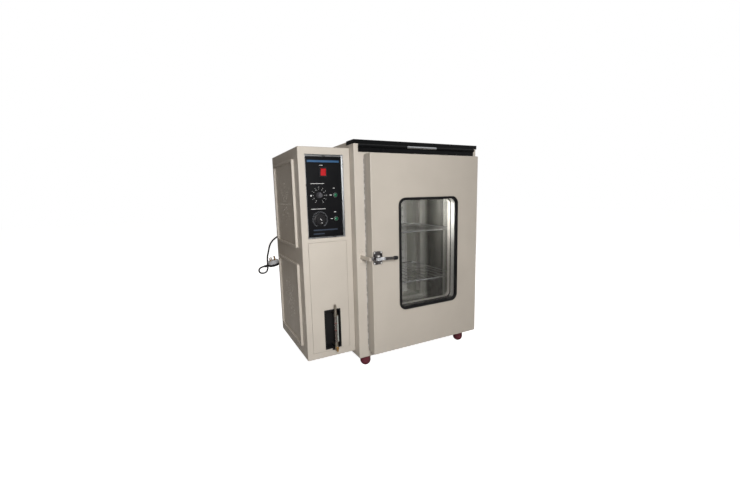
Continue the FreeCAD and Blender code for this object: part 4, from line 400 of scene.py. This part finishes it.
finishes = {
    "casingPaint": (enamel("casing_enamel", tone(192, 186, 177)),
                    ["outer_casing", "back_panel", "control_casing", "control_back", "service_cover",
                     "vent_covers"]),
    "doorPaint": (enamel("door_enamel", tone(182, 176, 167)), ["door_outer"]),
    "blackPaint": (enamel("black_enamel", tone(13, 14, 16), 0.3, 0.12, 0.16, 0.12),
                   ["top_cap", "fascia"]),
    "panelPaint": (enamel("panel_black", tone(12, 13, 16), 0.4, 0.15, 0.08, 0.12), ["control_panel"]),
    "blackSteel": (metal("blackened_steel", tone(36, 36, 38), 0.4), ["panel_screws"]),
    "stainless": (metal("stainless_sheet", tone(150, 146, 142), 0.32, (1, 1, 14), 0.10, 0.08, 90),
                  ["shelf_rails"]),
    "baffleSheet": (metal("baffle_sheet", tone(240, 240, 232), 0.14, (9, 1, 0.5), 0.3, 0.05, 12, 0.4),
                    ["air_baffle"]),
    "revealSheet": (revealSheet("reveal_sheet", tone(240, 240, 236)), ["window_reveal"]),
    "linerSheet": (polishedSheet("polished_liner", tone(246, 245, 238)), ["inner_liner"]),
    "doorBack": (enamel("door_back_enamel", tone(172, 168, 162), 0.4), ["door_inner"]),
    "platedWire": (metal("plated_wire", tone(190, 190, 192), 0.16), ["shelf_lower", "shelf_upper"]),
    "chrome": (metal("bright_chrome", tone(222, 222, 224), 0.13, (1, 1, 1), 0.05, 0.02, 60),
               ["latch_bolt", "lamp_bezels"]),
    "latchPlate": (metal("latch_plate_steel", tone(136, 134, 136), 0.26, (1, 1, 1), 0.12, 0.04, 60),
                   ["latch_plate"]),
    "brightScrews": (metal("bright_screws", tone(236, 236, 236), 0.34, (1, 1, 1), 0.05, 0.02, 60, 0.35),
                     ["latch_fixings"]),
    # the lever's first tone is a painted highlight on its boss
    "leverSteel": (leverSteel("lever_steel", tone(226, 230, 236), tone(92, 90, 90)), ["latch_handle"]),
    "keeperPlate": (keeperSteel("keeper_steel", tone(196, 189, 180), tone(216, 209, 200)),
                    ["strike_plate"]),
    "silverTrim": (metal("silver_trim", tone(168, 170, 172), 0.3, (1, 1, 1), 0.03, 0.004, 40),
                   ["badge_plate", "panel_bezel"]),
    "hingeSteel": (metal("hinge_steel", tone(170, 168, 164), 0.3),
                   ["hinge_leaves_frame", "hinge_leaves_door", "hinge_pins", "cord_hook"]),
    "fanMetal": (metal("fan_metal", tone(176, 178, 182), 0.35), ["fan_wheel"]),
    "motorPaint": (enamel("motor_enamel", tone(70, 76, 82), 0.45, 0.1), ["fan_motor"]),
    "tankSteel": (metal("tank_steel", tone(158, 156, 152), 0.36, (1, 1, 9), 0.1, 0.08, 90),
                  ["water_tank", "tank_heater"]),
    "heaterSheath": (metal("heater_sheath", tone(96, 88, 82), 0.42), ["heater_ring"]),
    "brass": (metal("turned_brass", tone(186, 146, 88), 0.24), ["cock_key", "plug_pins"]),
    "nickel": (metal("dull_nickel", tone(150, 144, 134), 0.3), ["gauge_fittings"]),
    "glass": (clearGlass("window_pane", tone(250, 252, 251)),
              ["window_glass_outer", "window_glass_inner"]),
    "tubeGlass": (hazyTube("tube_plastic", tone(166, 156, 150), 0.3), ["sight_tube"]),
    "greenLens": (moulded("green_lens", tone(8, 92, 62), 0.2, 0.05), ["lamp_lenses"]),
    "redRocker": (moulded("red_rocker", tone(176, 20, 28), 0.28, 0.05), ["rocker"]),
    "blackPlastic": (moulded("black_moulding", tone(20, 20, 23), 0.42, specular=0.25),
                     ["humidity_knob", "switch_frame", "controllers", "handle_grip", "cable_gland",
                      "plug_cover"]),
    "knobGrey": (moulded("knob_grey", tone(62, 62, 68), 0.5), ["thermostat_knob"]),
    "greyPlastic": (moulded("grey_moulding", tone(184, 186, 191), 0.42), ["plug_body"]),
    "blackRubber": (moulded("black_rubber", tone(18, 18, 19), 0.55, 0.2, 500, specular=0.25),
                    ["window_seal_inner", "gauge_edging", "cord_coil", "cord_runs"]),
    "windowRubber": (moulded("window_rubber", tone(18, 18, 20), 0.5, 0.2, 500, specular=0.2),
                     ["window_gasket"]),
    "doorSeal": (crinkledSeal("silvered_seal", tone(210, 210, 212)), ["door_gasket"]),
    "maroonRubber": (moulded("maroon_rubber", tone(98, 34, 48), 0.5, 0.15, 500), ["feet"]),
    "glassWool": (woolPack("glass_wool", tone(214, 202, 140)), ["insulation", "door_insulation"]),
}


def dress(finish):
    material, names = finish
    for name in names:
        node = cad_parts[name]
        node.data.materials.clear()
        node.data.materials.append(material)


for finish in finishes.values():
    dress(finish)
mainsCord.data.materials.append(finishes["blackRubber"][0])
print("finishes laid on", sum(len(names) for _, names in finishes.values()), "nodes")


# Small built parts
def meshPiece(name, form, finish, body):
    mesh = bpy.data.meshes.new(name)
    form.to_mesh(mesh)
    form.free()
    mesh.materials.append(finish)
    piece = bpy.data.objects.new(name, mesh)
    bpy.context.scene.collection.objects.link(piece)
    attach(piece, body)


def addBar(form, centre, length, width, thick, angle=0.0):
    # a low printed bar on an upright face: length along the angle, thick toward the front
    turn = Matrix.Rotation(-math.radians(angle), 4, "Y")
    shape = Matrix.Diagonal((length / 1000, thick / 1000, width / 1000, 1))
    bmesh.ops.create_cube(form, size=1, matrix=Matrix.Translation(spot(*centre)) @ turn @ shape)


def addRing(form, centre, axis, radius, thick, around=14, section=6):
    # a fine round-sectioned ring
    turn = axis.to_track_quat("Z", "Y").to_matrix().to_4x4()
    rows = []
    for i in range(around):
        a = 2 * math.pi * i / around
        row = []
        for j in range(section):
            b = 2 * math.pi * j / section
            r = radius + thick * math.cos(b)
            place = Vector((r * math.cos(a), r * math.sin(a), thick * math.sin(b))) / 1000
            row.append(form.verts.new(spot(*centre) + turn.to_3x3() @ place))
        rows.append(row)
    for i in range(around):
        for j in range(section):
            ahead, beside = rows[(i + 1) % around], (j + 1) % section
            form.faces.new((rows[i][j], ahead[j], ahead[beside], rows[i][beside]))


def addTurned(form, centre, axis, profile, around=28):
    # a shape turned about a line through centre, from pairs of radius and height along the axis
    turn = axis.to_track_quat("Z", "Y").to_matrix()
    rows = []
    for radius, height in profile:
        row = []
        for i in range(around):
            a = 2 * math.pi * i / around
            offset = turn @ Vector((radius * math.cos(a), radius * math.sin(a), height)) / 1000
            row.append(form.verts.new(spot(*centre) + offset))
        rows.append(row)
    for lower, upper in zip(rows, rows[1:]):
        for i in range(around):
            form.faces.new((lower[i], lower[(i + 1) % around], upper[(i + 1) % around], upper[i]))
    return rows


def middleOf(node):
    # a node's low corner, its middle and its high corner, in millimetres from the casing's corner
    low, high = (millimetres(corner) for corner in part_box(node))
    return low, (low + high) / 2, high


# Control panel: its print, and the lines on its knobs
panelFace = 52     # the control panel's front, back from the casing's front
printRise = 0.1     # how far the middle of a printed bar stands off the panel
whiteInk = moulded("white_ink", tone(222, 224, 226), 0.5, 0.05)
greyInk = moulded("grey_ink", tone(120, 124, 130), 0.5, 0.05)
blueInk = moulded("blue_ink", tone(30, 80, 122), 0.5, 0.05)
dimInk = moulded("dim_ink", tone(30, 44, 62), 0.5, 0.05)
blackInk = moulded("black_ink", tone(24, 24, 26), 0.5, 0.05)

thermostat = {"centre": (-122, 650), "near": 21, "far": 24.5, "marks": 11, "from": 240, "sweep": 300,
              "numbers": 29.5, "numberTall": 4.4}
humidistat = {"centre": (-122, 561), "near": 26.5, "far": 30.5, "marks": 51, "from": 240, "sweep": 300}


def angleOf(setup, step):
    return setup["from"] - setup["sweep"] * step / (setup["marks"] - 1)


def printedScale(name, setup, each, ink, wide):
    # marks round a knob; with each above 1, every so many marks one is longer
    form = bmesh.new()
    cx, cz = setup["centre"]
    for i in range(setup["marks"]):
        angle = angleOf(setup, i)
        near = setup["near"] - (2.5 if each > 1 and i % each == 0 else 0)
        middle = (near + setup["far"]) / 2
        a = math.radians(angle)
        centre = (cx + middle * math.cos(a), panelFace - printRise, cz + middle * math.sin(a))
        addBar(form, centre, setup["far"] - near, wide, 0.25, angle)
    meshPiece(name, form, ink, "cabinet")


def numeral(text, centre, tall, ink):
    # a plain number printed on the panel
    data = bpy.data.curves.new("numeral_" + text, "FONT")
    data.body = text
    data.size = tall / 1000
    data.align_x = "CENTER"
    data.align_y = "CENTER"
    data.extrude = 0.00012
    piece = bpy.data.objects.new("numeral_" + text, data)
    bpy.context.scene.collection.objects.link(piece)
    piece.location = spot(*centre)
    piece.rotation_euler = (math.pi / 2, 0, 0)
    data.materials.append(ink)
    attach(piece, "cabinet")


printedScale("thermostat_scale", thermostat, 1, whiteInk, 1.0)
printedScale("humidistat_scale", humidistat, 5, greyInk, 0.7)
for step in range(thermostat["marks"]):
    way = math.radians(angleOf(thermostat, step))
    cx, cz = thermostat["centre"]
    out = thermostat["numbers"]
    numeral(str(step), (cx + out * math.cos(way), panelFace, cz + out * math.sin(way)),
            thermostat["numberTall"], whiteInk)
print("scales printed")


# Plain bars where the real panel is printed, and two painted highlights beside the lamps: each is centre
# x, centre z, length and height
panelPrint = {
    "blue_band": ("blue", [(-101, 773.5, 124, 7.5)]),
    "dial_rules": ("white", [(-127, 693, 52, 1.6), (-127, 600, 56, 1.6), (-110, 759, 14, 1.6)]),
    # the two bars left of the lamps, at x -76 and -75, are painted highlights of the chrome lamp bezels;
    # the two above the lamps are print
    "lamp_rules_and_glints": ("white", [(-63, 676, 7, 2.2), (-61, 587, 7, 2.2), (-76, 650.5, 8, 2.6),
                             (-75, 561.5, 8, 2.6)]),
    "set_mark": ("white", [(-153, 649, 5, 5)]),
    "low_rules": ("dim", [(-101, 521, 96, 5), (-128, 507, 44, 4)]),
}
inks = {"blue": blueInk, "white": whiteInk, "dim": dimInk}


def panelRules(name, ink, bars):
    form = bmesh.new()
    for x, z, length, tall in bars:
        addBar(form, (x, panelFace - printRise, z), length, tall, 0.25)
    bmesh.ops.bevel(form, geom=form.edges[:], offset=0.00005, segments=1, affect="EDGES")
    meshPiece(name, form, inks[ink], "cabinet")


for name, (ink, bars) in panelPrint.items():
    panelRules(name, ink, bars)


def knobMarks(name, node, body, ink, bars):
    # lines on a knob's front: each is how far out, at what angle, how long, how wide and its slant
    low, middle, _ = middleOf(node)
    form = bmesh.new()
    for out, angle, length, wide, slant in bars:
        a = math.radians(angle)
        centre = (middle.x + out * math.cos(a), low.y - 0.05, middle.z + out * math.sin(a))
        addBar(form, centre, length, wide, 0.3, slant)
    bmesh.ops.bevel(form, geom=form.edges[:], offset=0.00006, segments=1, affect="EDGES")
    meshPiece(name, form, ink, body)


knobMarks("thermostat_pointer", "thermostat_knob", "temperature_knob", greyInk,
          [(8, 90, 5, 0.9, 90)])
knobMarks("humidistat_pointer", "humidity_knob", "humidity_dial", whiteInk,
          [(1, -45, 9, 1.8, -45), (14, -76, 3.5, 2.4, -76)])
print("knobs marked")


# Water gauge: a printed strip on the plate beside the tube, and the water standing in the tube
gauge = {"stripOff": 8.3, "stripWide": 4.2, "stripEnds": 8, "steps": 20, "longMark": 2.6, "shortMark": 1.4,
         "waterTop": 129, "bore": 3.5, "rings": (129, 156)}
tubeLow, tubeMiddle, tubeHigh = middleOf("sight_tube")
tubeX, tubeY = tubeMiddle.x, tubeMiddle.y
tubeOuter = (tubeHigh.x - tubeLow.x) / 2
stripPaint = moulded("strip_white", tone(160, 167, 163), 0.5, 0.05)
stainedWater = moulded("stained_water", tone(58, 36, 31), 0.18, 0.02)
rustBand = moulded("rust_band", tone(84, 34, 34), 0.4, 0.1)


def gaugeStrip():
    low, high = tubeLow.z + gauge["stripEnds"], tubeHigh.z - gauge["stripEnds"]
    stripX = tubeX + gauge["stripOff"]
    face = bmesh.new()
    addBar(face, (stripX, tubeY - 0.75, (low + high) / 2), high - low, gauge["stripWide"], 0.2, 90)
    meshPiece("gauge_strip", face, stripPaint, "cabinet")
    marks = bmesh.new()
    for i in range(gauge["steps"] + 1):
        length = gauge["longMark"] if i % 5 == 0 else gauge["shortMark"]
        z = low + 3 + (high - low - 6) * i / gauge["steps"]
        centre = (stripX - gauge["stripWide"] / 2 + length / 2, tubeY - 0.9, z)
        addBar(marks, centre, length, 0.45, 0.15)
    meshPiece("gauge_graduations", marks, blackInk, "cabinet")


def waterColumn():
    bore, top, low = gauge["bore"], gauge["waterTop"], tubeLow.z + 0.5
    form = bmesh.new()
    rows = addTurned(form, (tubeX, tubeY, 0), Vector((0, 0, 1)),
                     [(0.2, low), (bore, low), (bore, top), (bore * 0.8, top - 0.7),
                      (bore * 0.4, top - 1.1), (0.2, top - 1.2)])
    form.faces.new(rows[0][::-1])
    form.faces.new(rows[-1])
    meshPiece("water_column", form, stainedWater, "cabinet")


def rustRings():
    form = bmesh.new()
    for z in gauge["rings"]:
        r = tubeOuter + 0.15
        addTurned(form, (tubeX, tubeY, z), Vector((0, 0, 1)),
                  [(r, -1.6), (r + 0.35, -1.1), (r + 0.35, 1.1), (r, 1.6), (r, -1.6)])
    bmesh.ops.remove_doubles(form, verts=form.verts, dist=0.000001)
    meshPiece("gauge_bands", form, rustBand, "cabinet")


gaugeStrip()
waterColumn()
rustRings()
print("gauge filled")


# Side covers: each punched hole has a burr raised round it, and a dark disc sunk in it as painted shade
# for the dark inside the casing behind
punching = {"centres": (227, 619), "pitch": 16.5, "rings": 5, "arms": 8, "hole": 2.6, "floor": 1.2,
            "burr": 0.55, "burrOut": 0.6}
# painted shade: the dark discs in the holes' bottoms stand for the shade inside
holeShadePaint = moulded("hole_shade_paint", tone(30, 26, 24), 0.8, 0.1)


def punchedHoles():
    _, middle, high = middleOf("vent_covers")
    hole = punching["hole"]
    rims, depths = bmesh.new(), bmesh.new()
    side = Vector((1, 0, 0))
    for centre in punching["centres"]:
        for ring in range(1, punching["rings"] + 1):
            for arm in range(punching["arms"]):
                a = 2 * math.pi * arm / punching["arms"]
                out = punching["pitch"] * ring
                x = high.x - punching["floor"]
                y, z = middle.y + out * math.sin(a), centre + out * math.cos(a)
                addRing(rims, (x, y, z), side, hole + punching["burrOut"], punching["burr"])
                addTurned(depths, (x + 0.5, y, z), -side,
                          [(hole - 0.1, 0.2), (hole * 0.6, -0.1), (0.3, -0.2)], 14)
    meshPiece("punched_rims", rims, finishes["casingPaint"][0], "cabinet")
    meshPiece("punched_hole_shade", depths, holeShadePaint, "cabinet")


punchedHoles()
print("covers punched")


# Screws that hold the sheets of the two backs
screws = {"radius": 3.6, "tall": 1.9, "inset": 11}
screwSteel = metal("screw_steel", tone(150, 148, 144), 0.3, (1, 1, 1), 0.08, 0.05, 60)


def edgePlaces(node, across, along):
    # spaced along both upright edges and both level edges of a node's back face
    low, _, high = middleOf(node)
    inset = screws["inset"]
    places = []
    for i in range(along):
        z = low.z + inset + (high.z - low.z - 2 * inset) * i / (along - 1)
        places += [(low.x + inset, high.y, z), (high.x - inset, high.y, z)]
    for i in range(1, across - 1):
        x = low.x + inset + (high.x - low.x - 2 * inset) * i / (across - 1)
        places += [(x, high.y, low.z + inset), (x, high.y, high.z - inset)]
    return places


def screwHeads(name, places):
    r, tall = screws["radius"], screws["tall"]
    form = bmesh.new()
    for place in places:
        addTurned(form, place, Vector((0, 1, 0)),
                  [(r, -0.1), (r, tall * 0.3), (r * 0.85, tall * 0.75), (r * 0.5, tall),
                   (r * 0.42, tall), (r * 0.36, tall * 0.45), (0.1, tall * 0.4)], 18)
    meshPiece(name, form, screwSteel, "cabinet")


screwHeads("back_screws", edgePlaces("back_panel", 4, 5))
screwHeads("control_back_screws", edgePlaces("control_back", 2, 4))
print("screws set")


# Studio
studioWhite = (1.0, 1.0, 1.0)
warmWhite = (1.0, 0.99, 0.95)
studio = {
    "key": {"place": (-0.60, -1.64, 0.90), "size": 0.45, "watts": 22, "colour": (1.0, 0.985, 0.965),
            "shine": True},
    "side": {"place": (2.2, -2.2, 1.9), "size": 1.8, "watts": 8, "colour": studioWhite, "shine": True},
    "top": {"place": (0.1, -0.3, 3.0), "size": 2.2, "watts": 12, "colour": studioWhite, "shine": True},
    "rear": {"place": (1.5, 2.4, 1.7), "size": 1.8, "watts": 40, "colour": studioWhite, "shine": False},
    # the chamber's own light, high on its left wall, and its gleam on the baffle
    "inside": {"place": spot(110, 50, 670), "size": 0.06, "watts": 0.8, "colour": warmWhite,
               "shine": False, "aim": spot(440, -30, 620), "beam": 76},
    "baffle": {"place": spot(330, 200, 700), "size": 0.05, "watts": 0.06, "colour": warmWhite,
               "shine": False, "aim": spot(380, 408, 610), "beam": 60},
}
objectMiddle = Vector((0, 0, 0.45))     # where a lamp points unless it has an aim of its own
wholeBeam = 180


def lamp(name, setup):
    data = bpy.data.lights.new(name, "AREA")
    data.size = setup["size"]
    data.energy = setup["watts"]
    data.color = setup["colour"]
    data.spread = math.radians(setup.get("beam", wholeBeam))
    light = bpy.data.objects.new(name, data)
    bpy.context.scene.collection.objects.link(light)
    light.location = setup["place"]
    aim = setup.get("aim", objectMiddle) - light.location
    light.rotation_euler = aim.to_track_quat("-Z", "Y").to_euler()
    light.visible_glossy = setup["shine"]
    light.visible_camera = False


def floorWhite():
    # a matt white floor; to the camera it also glows, so that only the object's shadow stays on it
    material, nodes, links, shader = blank("floor_white")
    shader.inputs["Base Color"].default_value = (0.55, 0.55, 0.55, 1)
    shader.inputs["Roughness"].default_value = 0.9
    shader.inputs["Specular IOR Level"].default_value = 0.0
    glow = nodes.new("ShaderNodeEmission")
    glow.inputs["Color"].default_value = (1, 1, 1, 1)
    glow.inputs["Strength"].default_value = 0.96
    both = nodes.new("ShaderNodeAddShader")
    links.new(shader.outputs["BSDF"], both.inputs[0])
    links.new(glow.outputs["Emission"], both.inputs[1])
    path = nodes.new("ShaderNodeLightPath")
    mix = nodes.new("ShaderNodeMixShader")
    links.new(path.outputs["Is Camera Ray"], mix.inputs["Fac"])
    links.new(shader.outputs["BSDF"], mix.inputs[1])
    links.new(both.outputs["Shader"], mix.inputs[2])
    links.new(mix.outputs["Shader"], nodes["Material Output"].inputs["Surface"])
    return material


def plainFloor():
    mesh = bpy.data.meshes.new("floor")
    form = bmesh.new()
    floorReach = 12
    bmesh.ops.create_grid(form, x_segments=2, y_segments=2, size=floorReach)
    form.to_mesh(mesh)
    form.free()
    floor = bpy.data.objects.new("floor", mesh)
    bpy.context.scene.collection.objects.link(floor)
    mesh.materials.append(floorWhite())


def whiteWorld():
    # white to the camera, a little warm light on the object, and a sky to be mirrored
    world = bpy.data.worlds.new("studio")
    bpy.context.scene.world = world
    world.use_nodes = True
    nodes, links = world.node_tree.nodes, world.node_tree.links
    nodes.clear()
    seen = nodes.new("ShaderNodeBackground")
    seen.inputs["Color"].default_value = (1, 1, 1, 1)
    seen.inputs["Strength"].default_value = 1.0
    fill = nodes.new("ShaderNodeBackground")
    fill.inputs["Color"].default_value = (1, 0.78, 0.58, 1)
    fill.inputs["Strength"].default_value = 0.12
    path = nodes.new("ShaderNodeLightPath")
    either = nodes.new("ShaderNodeMath")
    either.operation = "MAXIMUM"
    links.new(path.outputs["Is Camera Ray"], either.inputs[0])
    links.new(path.outputs["Is Transmission Ray"], either.inputs[1])
    mirrored = nodes.new("ShaderNodeBackground")
    mirrored.inputs["Strength"].default_value = 0.75
    place = nodes.new("ShaderNodeTexCoord")
    parts = nodes.new("ShaderNodeSeparateXYZ")
    links.new(place.outputs["Generated"], parts.inputs["Vector"])
    rise = spread(nodes, links, parts.outputs["Z"], 0, 1, -0.2, 0.9)
    links.new(colourBetween(nodes, links, rise, (0.16, 0.16, 0.16, 1), (1, 1, 1, 1), 0.3, 0.75),
              mirrored.inputs["Color"])
    shine = nodes.new("ShaderNodeMixShader")
    links.new(path.outputs["Is Glossy Ray"], shine.inputs["Fac"])
    links.new(fill.outputs["Background"], shine.inputs[1])
    links.new(mirrored.outputs["Background"], shine.inputs[2])
    mix = nodes.new("ShaderNodeMixShader")
    links.new(either.outputs["Value"], mix.inputs["Fac"])
    links.new(shine.outputs["Shader"], mix.inputs[1])
    links.new(seen.outputs["Background"], mix.inputs[2])
    out = nodes.new("ShaderNodeOutputWorld")
    links.new(mix.outputs["Shader"], out.inputs["Surface"])


for name, setup in studio.items():
    lamp(name, setup)
plainFloor()
whiteWorld()
bpy.context.scene.view_settings.view_transform = "Standard"
print("studio lit")

bpy.context.view_layer.update()     # so that the new pieces have their boxes
